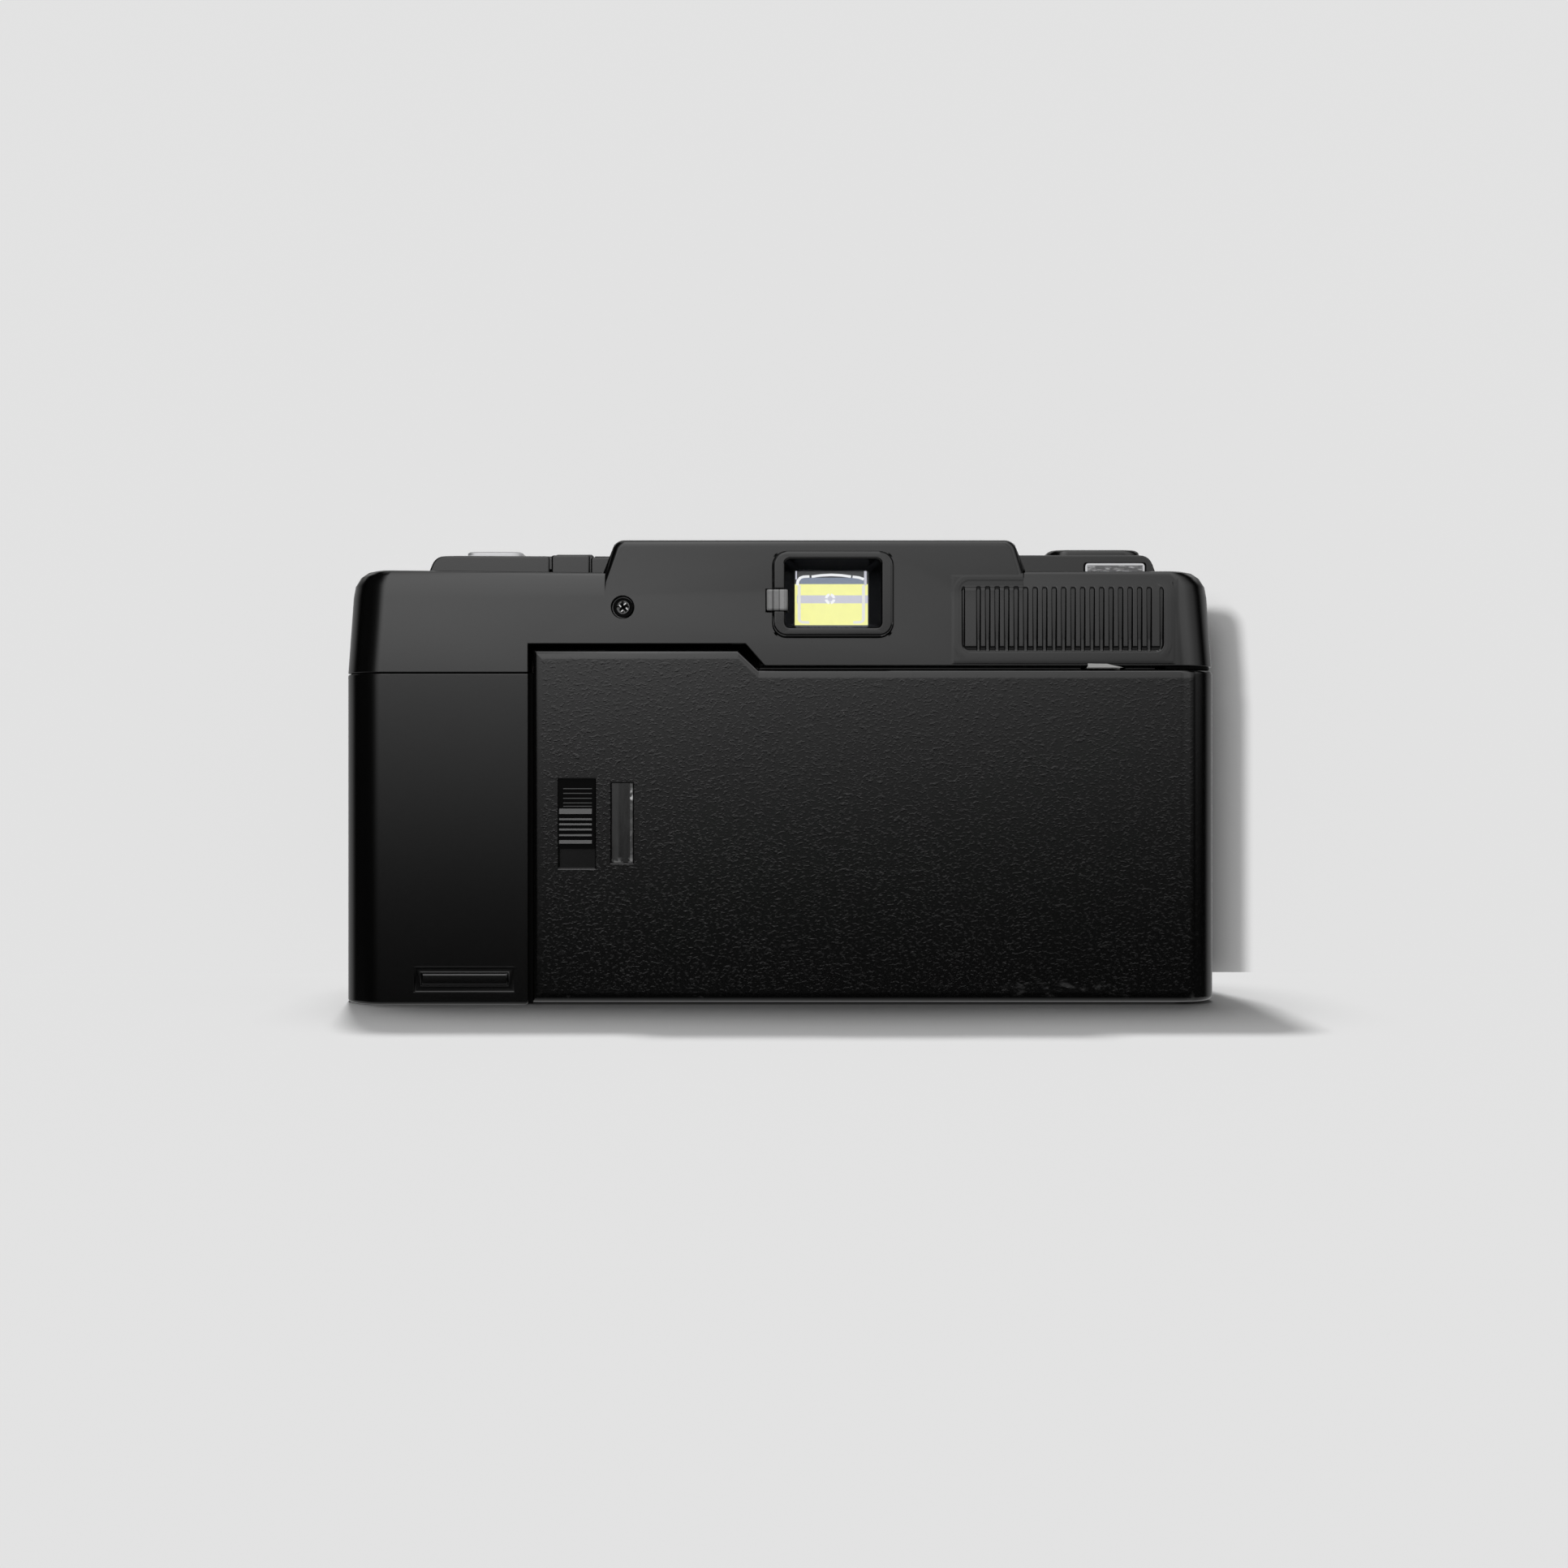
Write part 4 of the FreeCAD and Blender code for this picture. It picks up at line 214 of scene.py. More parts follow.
# a smooth surface through rings of points: rows x columns x 3, in millimetres
def skin(name, body, rings, closed=True, caps=(False, False), smooth=40):
    rows, columns = rings.shape[:2]
    points = rings.reshape(-1, 3) * mm
    here = np.arange(rows * columns).reshape(rows, columns)
    if closed:
        here = np.concatenate([here, here[:, :1]], axis=1)
    quads = np.stack([here[:-1, :-1], here[:-1, 1:], here[1:, 1:], here[1:, :-1]], axis=-1)
    faces = quads.reshape(-1, 4).tolist()
    if caps[0]:
        faces.append(here[0, :columns][::-1].tolist())
    if caps[1]:
        faces.append(here[-1, :columns].tolist())
    mesh = bpy.data.meshes.new(name)
    mesh.from_pydata(points.tolist(), [], faces)
    mesh.validate()
    if closed:
        work = bmesh.new()
        work.from_mesh(mesh)
        bmesh.ops.recalc_face_normals(work, faces=work.faces)
        work.to_mesh(mesh)
        work.free()
    mesh.shade_smooth()
    mesh.set_sharp_from_angle(angle=math.radians(smooth))
    piece = placed(name, mesh)
    if any(caps):
        flat = piece.modifiers.new("flat faces", "WEIGHTED_NORMAL")
        flat.weight = meshWork["largeFaces"]
        flat.keep_sharp = True
    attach(piece, body)
    return piece


# each outline of a stack at its own depth y, joined into one skin
def stacked(name, body, outlines, depths, **options):
    rings = np.stack([np.stack([o[:, 0], np.full(len(o), y), o[:, 1]], axis=1)
                      for o, y in zip(outlines, depths)])
    return skin(name, body, rings, **options)


# a flat plate with any outline, its face at y = face and its back at y = back
def plate(name, body, outline, face, back):
    outline = np.asarray(outline, float)
    return stacked(name, body, [outline, outline], [back, face], caps=(True, True), smooth=20)


# camera and stage
view = {
    "away": 300.0,          # lens to the back of the camera
    "across": 0.6,          # where the line of sight meets the back
    "height": 33.2,
    "focal": 45.8,
    "sensor": 36.0,
    "clip": (0.01, 20),     # metres
}
rearFace = -25.0

lens = bpy.data.cameras.new("view")
lens.lens = view["focal"]
lens.sensor_width = view["sensor"]
lens.clip_start, lens.clip_end = view["clip"]
camera = placed("view", lens)
camera.location = (view["across"] * mm, (rearFace - view["away"]) * mm, view["height"] * mm)
camera.rotation_euler = (math.radians(90), 0, 0)
scene.camera = camera


# a flat piece of the stage through four corners, in metres
def plane(name, corners):
    mesh = bpy.data.meshes.new(name)
    mesh.from_pydata(corners, [], [(0, 1, 2, 3)])
    piece = placed(name, mesh)
    return piece


stage = {
    "pale": 0.75,           # sRGB 225
    "wall": 27.0,           # the wall stands just behind the lens
    "reach": 4.0,           # metres
    "shade": 0.09,          # even light from all round, which also reaches into the shadow
}
wide = stage["reach"]
wallY = stage["wall"] * mm
floor = plane("floor", [(-wide, -wide, 0), (wide, -wide, 0), (wide, wide, 0), (-wide, wide, 0)])
wall = plane("wall", [(-wide, wallY, 0), (wide, wallY, 0),
                      (wide, wallY, wide), (-wide, wallY, wide)])


# plain and pale, see-through from behind so that the part shows from all sides
def stageFinish(name):
    finish = Finish(name)
    finish.tree.nodes.remove(finish.shader)
    pale = finish.node("BsdfDiffuse", {}, grey(stage["pale"]))
    fromBehind = finish.node("NewGeometry", {}, output=6)
    last = finish.node("MixShader", {}, fromBehind, pale, finish.node("BsdfTransparent", {}))
    finish.feed(finish.tree.nodes["Material Output"].inputs["Surface"], last)
    return finish.material


for piece in (floor, wall):
    piece.data.materials.append(stageFinish(piece.name + "Finish"))
    piece.visible_diffuse = False
    piece.visible_glossy = False
    piece.visible_shadow = False        # they darken neither the object nor each other


# a collection, which a light is linked to
def group(name, pieces):
    collection = bpy.data.collections.new(name)
    scene.collection.children.link(collection)
    for piece in pieces:
        collection.objects.link(piece)
    return collection


floorOnly = group("floorOnly", [floor])
wallOnly = group("wallOnly", [wall])
objectOnly = group("objectOnly", [])


# a lamp that stands at start, looks at end, both in millimetres, and lights one collection
def lamp(name, kind, start, end, receivers, **settings):
    light = bpy.data.lights.new(name, kind)
    for key, value in settings.items():
        setattr(light, key, value)
    thing = placed(name, light)
    thing.location = Vector(start) * mm
    thing.rotation_euler = (Vector(end) - Vector(start)).to_track_quat("-Z", "Y").to_euler()
    thing.light_linking.receiver_collection = receivers
    return thing


# strength, angle in degrees over which the light comes in, which softens its shadow, where
# it comes from, what it lights
suns = {
    "wallEdge": (1.72, 2.8, (-34, -100, 3), wallOnly),
    "wallSoft": (1.34, 11, (-26, -100, 4), wallOnly),
    "floorEdge": (1.88, 5, (-10, 51, 90), floorOnly),
    "floorSoft": (1.36, 30, (-8, 26, 90), floorOnly),
}
for name, (strength, spread, start, receivers) in suns.items():
    lamp(name, "SUN", start, (0, 0, 0), receivers, energy=strength, angle=math.radians(spread))

# these light colours but aren't mirrored in gloss; radiance of the lit face, size, where it
# stands; the lamp's power is its radiance times pi times its area
softboxes = {
    "rearFill": (5.4, (600, 400), (-200, -650, 350)),
    "frontFill": (4.0, (700, 500), (150, 650, 420)),
    "topFill": (2.5, (500, 500), (0, -100, 700)),
}
bodyMiddle = (0, 0, 35)
for name, (radiance, size, start) in softboxes.items():
    width, height = (value * mm for value in size)
    thing = lamp(name, "AREA", start, bodyMiddle, objectOnly, shape="RECTANGLE", size=width,
                 size_y=height, energy=radiance * math.pi * width * height)
    thing.visible_glossy = False

# what gloss mirrors: a tall soft light before the camera's back, brightest high up and to
# the left, dark to the sides, and pale ground and a soft light above elsewhere
sky = {
    "pale": 0.75,
    # the values in pairs are parts of the direction along Y or along Z, from where to where
    # something begins
    "ground": 0.42,                 # pale ground far beyond the front
    "groundStart": (0.1, 0.5),
    "groundHeight": (0.15, 0.5),    # above this it ends
    "under": 0.55,                  # pale ground below the horizon
    "underStart": (0.14, 0.24),
    "rearSide": (0.25, 0.7),
    "underRear": (0.3, 0.55),       # on the side of the back it starts lower
    "underRearShare": 0.6,
    "roof": 0.9,                    # soft light high over the front, and straight above
    "roofStart": (0.3, 0.6),
    "roofFront": (0.25, 0.45),
    "straightAbove": (0.86, 0.97),
    "full": 3.0,                    # the tall light
    "overhead": (-0.3, 0.1),        # where it ends overhead
    # angle up from the horizon in degrees, share of the full light
    "upward": ((-3.5, 0.0), (-2.5, 0.02), (-1.0, 0.085), (0.0, 0.144), (1.5, 0.217), (3.0, 0.235),
               (4.5, 0.436), (6.5, 0.94), (10.0, 0.75), (20.0, 0.8), (50.0, 0.87), (75.0, 1.0)),
    # angle across in degrees, left is negative
    "across": ((-54.0, 0.01), (-38.0, 0.03), (-30.0, 0.14), (-22.0, 0.65), (-16.0, 1.0),
               (-6.0, 1.0), (0.0, 0.75), (6.0, 0.7), (12.0, 0.5), (18.0, 0.4), (24.0, 0.64),
               (43.0, 0.64), (62.0, 0.35), (84.0, 0.12)),
}
world = bpy.data.worlds.new("studio")
scene.world = world
world.cycles.sampling_method = "NONE"       # else the light by kind of ray is mixed up
studio = Finish("studio", world)


def degreesRamp(angle, table):
    # a table of (degrees, value) read at an angle in radians
    return studio.node("ValToRGB", {"stops": [((a + 180) / 360, v) for a, v in table]},
                       angle / (2 * math.pi) + 0.5)


east, north, up = studio.parts(studio.node("TexCoord", {}, output=0))
rise = studio.node("Math", {"operation": "ARCSINE"}, up)
turn = studio.node("Math", {"operation": "ARCTAN2"}, east, -1 * north)
rear = degreesRamp(rise, sky["upward"]) * degreesRamp(turn, sky["across"])
rear = rear * sky["full"] * (1 - north.ramp(*sky["overhead"]))
ground = (1 - abs(up).ramp(*sky["groundHeight"])) * sky["ground"] * north.ramp(*sky["groundStart"])
down, rearward = -1 * up, (-1 * north).ramp(*sky["rearSide"])
under = (down.ramp(*sky["underStart"]) * (1 - rearward)
         + down.ramp(*sky["underRear"]) * rearward * sky["underRearShare"]) * sky["under"]
roof = north.ramp(*sky["roofFront"]) * up.ramp(*sky["roofStart"]) * sky["roof"]
overTop = up.ramp(*sky["straightAbove"]) * sky["roof"]
rays = studio.node("LightPath", {}).socket.node.outputs
seen = Flow(studio, rays["Is Camera Ray"]).high(Flow(studio, rays["Is Transmission Ray"]))
diffuse = Flow(studio, rays["Is Diffuse Ray"])
mirrored = (rear + ground.high(under) + roof.high(overTop)) * (1 - seen) * (1 - diffuse)
background = studio.tree.nodes["Background"].inputs
studio.feed(background["Color"], grey(1.0))
studio.feed(background["Strength"], mirrored + seen * sky["pale"] + diffuse * stage["shade"])
print("stage: floor, wall,", len(suns) + len(softboxes), "lights")


# black moulded plastic: fine mould grain, a little dust; here and below a wave is its size,
# its layers, their roughness and how it is stretched
black = {
    "base": 0.0012,
    "shades": (0.85, 1.2),  # of this, in patches
    "patch": 2.2 * mm,
    "gloss": 0.165,
    "glossSpread": 0.04,
    "grain": (0.3 * mm, 3.0, 0.6),
    "grainDepth": 0.0012 * mm,
    "dust": (4.5 * mm, 0.13 * mm),      # spacing and radius of its specks
    "dustColour": 0.28,
}


def plastic(name, base=black["base"], rough=black["gloss"], depth=black["grainDepth"], dust=0.0):
    finish = Finish(name)
    grain = finish.noise(*black["grain"])
    darker, lighter = (base * share for share in black["shades"])
    colour = finish.mix(finish.noise(black["patch"]), grey(darker), grey(lighter))
    if dust:
        specks = finish.specks(*black["dust"], dust)
        colour = finish.mix(specks, colour, grey(black["dustColour"]))
    spread = black["glossSpread"]
    return finish.set(Base_Color=colour, Roughness=grain * spread + (rough - spread / 2),
                      Normal=finish.bump(grain, depth))


# leather-like grain of the back door: short wrinkles, fine ones that rise a little to the
# right and coarser ones that fall
door = {
    "left": -37.2,
    "right": 66.0,
    "low": 0.4,
    "high": 50.5,
    "tab": (2.9, -3.2, 3.1),    # its rise, where its slant ends and how wide the slant is
    "rear": (24.6, 25.0),       # the grain is on the rear face alone
    "border": 1.5,              # smooth band along the edges
    "borderEnds": (0.6, 1.3),   # shares of it over which the grain begins
    "pillow": 0.16 * mm,        # how far the border falls away
    "fine": (0.42 * mm, 2.0, 0.55, (1 / 1.45, 1, 1)),
    "fineCut": (0.53, 0.67, 0.8),       # from where to where a wave is a wrinkle, its height
    "coarse": (0.42 * mm * 1.7, 2.0, 0.6, (0.75, 1, 1)),
    "coarseCut": (0.58, 0.7, 0.7),
    "rise": 15.0,               # degrees
    "depth": 0.0092 * mm,
    "patches": (6 * mm, 0.3, 0.7, 0.25),    # size, from where to where, how much they matter
    "mould": (0.22 * mm, 0.001 * mm),   # fine mould grain and its depth
    "matt": 0.06,               # how much rougher wrinkles are
    "dust": (5.5 * mm, 0.16 * mm, 0.3),
    "dustColour": 0.22,
    "scratch": (1.1 * mm, 4.0, 0.65, (0.5, 1, 1)),
    # worn places: from where to where a wave is a scratch, middle and reach along x and z
    "worn": (((0.52, 0.72), (44, 5, 13), (2.4, 0.4, 1.6), 0.9),
             ((0.55, 0.8), (37, 2, 12), (18, 1, 4), 0.3)),
    "wornFoot": ((0.6, 0.75), (1.0, 2.2), 0.6),
    "wornColour": 0.04,
}


def grainedPlastic(name):
    finish = Finish(name)
    x, y, z = finish.across()
    rise = math.radians(door["rise"])
    size, start, end, share = door["patches"]
    patchy = finish.noise(size).ramp(start, end) * share + (1 - share)
    fine = finish.noise(*door["fine"], (0, rise, 0))
    coarse = finish.noise(*door["coarse"], (0, -rise, 0))
    *fineCut, fineHeight = door["fineCut"]
    *coarseCut, coarseHeight = door["coarseCut"]
    wrinkles = (fine.ramp(*fineCut) * fineHeight + coarse.ramp(*coarseCut) * coarseHeight) * patchy
    # distance inside the door's outline: the least of the distances to its four sides
    tabRise, tabEnd, tabSlant = door["tab"]
    slant = (x - (tabEnd - tabSlant)).high(0.0).low(tabSlant) / tabSlant
    top = (1 - slant) * tabRise + door["high"]
    inside = (x - door["left"]).low(door["right"] - x).low(z - door["low"]).low(top - z)
    inner = inside.ramp(*(door["border"] * share for share in door["borderEnds"]))
    rearward = (-1 * y).ramp(*door["rear"])
    pillow = 1 - (1 - (inside / door["border"]).low(1.0).high(0.0)) ** 2
    # dust and wear
    scratches = finish.noise(*door["scratch"])
    cut, foot, strength = door["wornFoot"]
    worn = scratches.ramp(*cut) * (1 - z.ramp(*foot)) * strength
    for cut, along, upward, strength in door["worn"]:
        worn = worn.high(scratches.ramp(*cut) * x.near(*along) * z.near(*upward) * strength)
    colour = finish.mix(finish.specks(*door["dust"]), grey(black["base"]), grey(door["dustColour"]))
    colour = finish.mix(worn, colour, grey(door["wornColour"]))
    size, depth = door["mould"]
    normal = finish.bump(finish.noise(size), depth)
    normal = finish.bump(pillow * rearward, door["pillow"], 1.0, normal)
    normal = finish.bump(wrinkles * inner * rearward, door["depth"], 1.0, normal)
    return finish.set(Base_Color=colour, Roughness=wrinkles * door["matt"] + black["gloss"],
                      Normal=normal)


# metal: a fine wave, stretched into lines where it is brushed, spreads the gloss
brushing = {"wave": 0.4 * mm, "depth": 0.01 * mm, "glossSpread": 0.12}


def metal(name, colour, rough, brushed=0.0, scale=(1, 1, 1)):
    finish = Finish(name)
    lines = finish.noise(brushing["wave"], scale=scale)
    spread = brushing["glossSpread"]
    return finish.set(Base_Color=(*colour, 1), Metallic=1.0,
                      Roughness=lines * spread + (rough - spread / 2),
                      Normal=finish.bump(lines, brushing["depth"], brushed))


# one colour, a little darker in soft patches; wave and depth in millimetres
patches = {"darkest": 0.88, "bump": 0.4}


def plain(name, colour, rough, wave=0.8, depth=0.01, **sockets):
    finish = Finish(name)
    soft = finish.noise(wave * mm)
    darker = tuple(value * patches["darkest"] for value in colour)
    return finish.set(Base_Color=finish.mix(soft, (*darker, 1), (*colour, 1)), Roughness=rough,
                      Normal=finish.bump(soft, depth * mm, patches["bump"]), **sockets)


# clear or smoked plastic and glass with a slight haze
haze = {"wave": 1.5 * mm, "rough": 0.04, "alpha": 0.06}


def clear(name, tint, rough, alpha):
    finish = Finish(name)
    wave = finish.noise(haze["wave"])
    return finish.set(Base_Color=(*tint, 1), Roughness=wave * haze["rough"] + rough,
                      Alpha=wave * haze["alpha"] + alpha)


# clear moulding over a pale ground, with painted shade: darker along its upper rim and at its left
# end
timerButton = {
    "tone": 0.66,
    "wave": (0.6 * mm, 0.08),
    # painted shade: where the upper rim and the left end grow darker, and by how much
    "rim": (68.74, 68.9, 0.42),     # from where to where, and how much darker
    "end": (-47.9, -46.9, 0.5),
    "endLow": (68.35, 68.6),
    "white": (1.0, 1.0, 1.02, 1),
    "rough": 0.2,
}


def clearButton(name, button):
    finish = Finish(name)
    x, y, z = finish.across()
    # painted shade on the upper rim and on the left end
    start, end, rimShade = button["rim"]
    rim = z.ramp(start, end) * rimShade
    start, end, endShade = button["end"]
    leftEndShade = (1 - x.ramp(start, end)) * z.ramp(*button["endLow"]) * endShade
    size, strength = button["wave"]
    tone = finish.noise(size) * strength + button["tone"] - rim.high(leftEndShade)
    return finish.set(Base_Color=finish.shade(tone, button["white"]), Roughness=button["rough"])


# plain jacket of a cell: dark sleeve with a copper-coloured head
jacket = {
    "head": (38.0, 38.3),
    "sleeve": (0.02, 0.02, 0.022, 1),
    "copper": (0.45, 0.24, 0.10, 1),
    "metallic": 0.8,
    "rough": 0.35,
}


def cellJacket(name, jacket):
    finish = Finish(name)
    x, y, z = finish.across()
    head = z.ramp(*jacket["head"])
    return finish.set(Base_Color=finish.mix(head, jacket["sleeve"], jacket["copper"]),
                      Metallic=head * jacket["metallic"], Roughness=jacket["rough"])


finishes = {
    "satin_black": plastic("satinBlack", dust=0.06),
    "fine_black": plastic("fineBlack", base=0.0016, depth=0.0016 * mm),
    "grained_black": grainedPlastic("grainedBlack"),
    "ring_black": plastic("ringBlack", rough=0.22, depth=0.001 * mm),
    "button_black": plastic("buttonBlack", rough=0.18, depth=0.001 * mm),
    "clear_button": clearButton("clearButton", timerButton),
    "clear_glass": clear("clearGlass", (0.5, 0.53, 0.6), 0.03, 0.04),
    "clear_window": clear("clearWindow", (0.55, 0.56, 0.58), 0.1, 0.32),
    "smoked_window": clear("smokedWindow", (0.012, 0.012, 0.016), 0.05, 0.72),
    "lamp_white": plain("lampWhite", (0.27, 0.27, 0.275), 0.3, 0.5),
    "lamp_red": plain("lampRed", (0.35, 0.015, 0.012), 0.2, 0.5),
    # also the dark of the plates that paint shade in the latch slot and on the screw; its gloss is
    # low so that this shade stays black
    "inner_black": plain("innerBlackAndShade", (0.0015, 0.0015, 0.0015), 0.6, 0.5, 0.02,
                         Specular_IOR_Level=0.06),
    "foam": plain("foam", (0.012, 0.011, 0.010), 0.95, 0.35, 0.08),
    "black_screw": metal("blackScrew", (0.09, 0.09, 0.09), 0.32, 0.2),
    "steel": metal("steel", (0.5, 0.5, 0.5), 0.28, 0.3, (1, 1, 0.1)),
    "plated": metal("plated", (0.75, 0.74, 0.72), 0.22, 0.1),
    "black_metal": plain("blackMetal", (0.006, 0.006, 0.006), 0.5, 0.4),
    "cell_jacket": cellJacket("cellJacket", jacket),
    "board_green": plain("boardGreen", (0.02, 0.09, 0.045), 0.45, 1.5),
    "capacitor_sleeve": plain("capacitorSleeve", (0.01, 0.01, 0.02), 0.25, 2.0),
    "reflector": metal("reflector", (0.8, 0.8, 0.82), 0.1, 0.05),
    "gear_white": plain("gearWhite", (0.62, 0.62, 0.6), 0.45, 1.0),
    "gear_brass": metal("gearBrass", (0.62, 0.43, 0.16), 0.28, 0.1),
    "dial_white": plain("dialWhite", (0.7, 0.7, 0.68), 0.5, 1.0),
}
slotOf = {entry["node"]: entry["material_slot"] for entry in frame["record"]["subparts"]}
print("finishes:", len(finishes))

# edge rounding in millimetres; the rest take the usual one
edges = {
    0.22: ("eyepiece_frame",),
    0.2: ("flash_ready_lamp",),
    0.18: ("door_panel",),
    0.12: ("top_cover", "side_cover", "flash_switch"),
    0.1: ("door_latch",),
    0.05: ("cover_screw", "base_screws", "counter_reset_lever", "rear_element"),
    0.03: ("gear_posts", "battery_contacts", "pressure_springs"),
    0.02: ("left_blade", "right_blade"),
    0.0: ("window_seal", "light_seal", "hinge_pin", "battery_door_pin"),
}
edgeOf = {name: width for width, names in edges.items() for name in names}

# the top cover's copy, a little nearer to the photograph: the hump's flanks lean less and
# stand further out, and the shoulders rise a little at the back
coverShift = {
    # from where to where along x each shift begins and ends, and its way
    "flanks": ((-27.6, -26.6, -17.0, -12.0, -1), (24.0, 29.0, 37.8, 38.8, 1)),
    "foot": 0.35,
    "crown": 1.1,
    "levels": (65.0, 70.0),
    "slack": 0.02,
    # from where to where along x, the rise at each end
    "shoulders": ((-60.0, -27.0, 0.5, 0.15), (38.0, 60.0, 0.3, 0.35)),
    "beside": (-26.25, 36.65),  # the hump's feet
    "rising": (61.6, 65.0),
    "below": 65.2,
    "front": (-15.0, 5.0),      # along y, where both end
}


# how far a value is on its way from start to end, never below 0 or above 1
def share(value, start, end):
    return np.clip((value - start) / (end - start), 0, 1)


# each point moves outwards by a width that grows evenly from the hump's foot to its crown,
# or upwards by a rise that grows evenly over the shoulder's rounding, both times less
# towards the front
def shiftCover(mesh, shift):
    points = np.empty(len(mesh.vertices) * 3)
    mesh.vertices.foreach_get("co", points)
    points = points.reshape(-1, 3) / mm
    x, y, z = points.T.copy()
    behind = 1 - share(y, *shift["front"])
    foot, crown = shift["foot"], shift["crown"]
    out = foot + (crown - foot) * share(z, *shift["levels"])
    out *= z > shift["levels"][0] - shift["slack"]
    for start, full, last, end, way in shift["flanks"]:
        points[:, 0] += way * out * behind * share(x, start, full) * share(x, end, last)
    rise = share(z, *shift["rising"]) * (z < shift["below"]) * behind
    left, right = shift["beside"]
    for (start, end, first, last), beside in zip(shift["shoulders"], (x < left, x > right)):
        points[:, 2] += (first + (last - first) * share(x, start, end)) * rise * beside
    mesh.vertices.foreach_set("co", (points * mm).ravel())
    mesh.update()


ownShapes = ("thumb_rest", "shutter_button", "timer_button")    # made further down
pieces = {}
for name in nodes:
    if name in ownShapes:
        continue
    piece = softened(name, edgeOf.get(name, meshWork["usualEdge"]))
    if name == "top_cover":
        shiftCover(piece.data, coverShift)
    piece.data.materials.append(finishes[slotOf[name]])
    objectOnly.objects.link(piece)
    pieces[name] = piece
print("pieces:", len(pieces), "softened")


# gives a new piece its finish, its slot of the record and the lamps' light
def dress(piece, slot):
    piece.data.materials.append(finishes[slot])
    objectOnly.objects.link(piece)
    return piece


# a closed outline drawn in by a margin, each corner along the middle of its two sides
def drawnIn(outline, margin):
    ahead = np.roll(outline, -1, axis=0) - outline
    ahead /= np.linalg.norm(ahead, axis=1, keepdims=True)
    inward = np.stack([-ahead[:, 1], ahead[:, 0]], axis=1)
    middle = inward + np.roll(inward, 1, axis=0)
    middle /= (middle * inward).sum(axis=1, keepdims=True)
    return outline + middle * margin


# a block seen from behind with its rear edge rounded: on a quarter circle the outline
# goes in by the radius less its sine and back by the radius less its cosine
def block(name, body, outline, rear, deep, rounding, steps=5):
    outline = np.asarray(outline, float)
    turns = np.linspace(math.pi / 2, 0, steps)
    outlines = [outline] + [drawnIn(outline, rounding * (1 - math.sin(a))) for a in turns]
    depths = [rear + deep] + [rear + rounding * (1 - math.cos(a)) for a in turns]
    return stacked(name, body, outlines, depths, caps=(True, True))


# a strip of even width along a line of points: half the width to each side
def strip(points, width):
    points = np.asarray(points, float)
    along = np.gradient(points, axis=0)
    along /= np.linalg.norm(along, axis=1, keepdims=True)
    side = np.stack([-along[:, 1], along[:, 0]], axis=1) * width / 2
    return np.concatenate([points - side, (points + side)[::-1]])


# the four corners of a rectangle from its lower left and its upper right one
def rectangle(left, low, right, high):
    return np.array([(left, low), (right, low), (right, high), (left, high)], float)


# shines by itself, in one colour: painted light that stands for the scene seen through the finder
def glow(name, colour):
    return Finish(name).set(Base_Color=grey(0.01), Roughness=0.5,
                            Emission_Color=(*colour, 1), Emission_Strength=1.0)


# what shows through the eyepiece: glowing plates paint the light of a bright scene, with the frame
# lines and the focus mark
finderView = {
    "left": 2.25,
    "right": 13.45,
    "bottom": 57.3,
    "top": 66.35,
    "back": -19.30,
    "step": 0.05,           # each layer before the one behind it
    "thick": 0.03,
    "line": 0.042,          # width of the lines, as a share of the view's width
    "ringHeight": 8.8,      # height of the view for which the focus mark is round
}
finderColours = {
    "dim": (0.045, 0.046, 0.048),
    "sky": (0.21, 0.25, 0.33),
    "yellow": (1.0, 1.0, 0.36),
    "haze": (0.62, 0.62, 0.70),
    "line": (0.97, 0.98, 1.0),
    "paleLine": (0.84, 0.84, 0.78),
}
finderGlow = {name: glow("finder" + name.capitalize(), colour)
              for name, colour in finderColours.items()}
line = finderView["line"]
# outlines and lines in shares of the view, 0 to 1 from its lower left corner; then each
# one's layer and colour
finderShapes = {
    "Back": (rectangle(0, 0, 1, 1), 0, "dim"),
    "Sky": (rectangle(0.07, 0.70, 0.95, 0.83), 1, "sky"),
    "Field": (rectangle(0.0, 0.02, 1.0, 0.72), 2, "yellow"),
    "Haze": (rectangle(0.03, 0.395, 1.0, 0.53), 3, "haze"),
    "FieldEdge": (rectangle(0.0, 0.0, 1.0, 0.025), 3, "dim"),
    "TopLine": (strip([(0.23, 0.845), (0.36, 0.868), (0.5, 0.876), (0.64, 0.868),
                       (0.77, 0.845)], line), 4, "line"),
    "LeftCorner": (strip([(0.035, 0.70), (0.045, 0.78), (0.075, 0.825), (0.12, 0.845),
                          (0.20, 0.85)], line), 4, "line"),
    "RightCorner": (strip([(0.79, 0.845), (0.88, 0.83), (0.945, 0.80)], line), 4, "line"),
    "LeftLine": (strip([(0.06, 0.70), (0.06, 0.13), (0.07, 0.095), (0.10, 0.075),
                        (0.20, 0.07)], line), 4, "paleLine"),
    "RightLine": (strip([(0.80, 0.07), (0.90, 0.075), (0.93, 0.095), (0.94, 0.13),
                         (0.94, 0.70)], line), 4, "paleLine"),
    "RightStreak": (strip([(0.965, 0.70), (0.965, 0.98)], 0.035), 4, "haze"),
    "LeftStreak": (strip([(0.02, 0.80), (0.02, 0.98)], 0.02), 4, "haze"),
}
focusMark = {
    "middle": (0.483, 0.47),
    "outer": 0.072,
    "inner": 0.036,
    "parts": ((-80, -10), (10, 80), (100, 170), (190, 260)),    # degrees
}


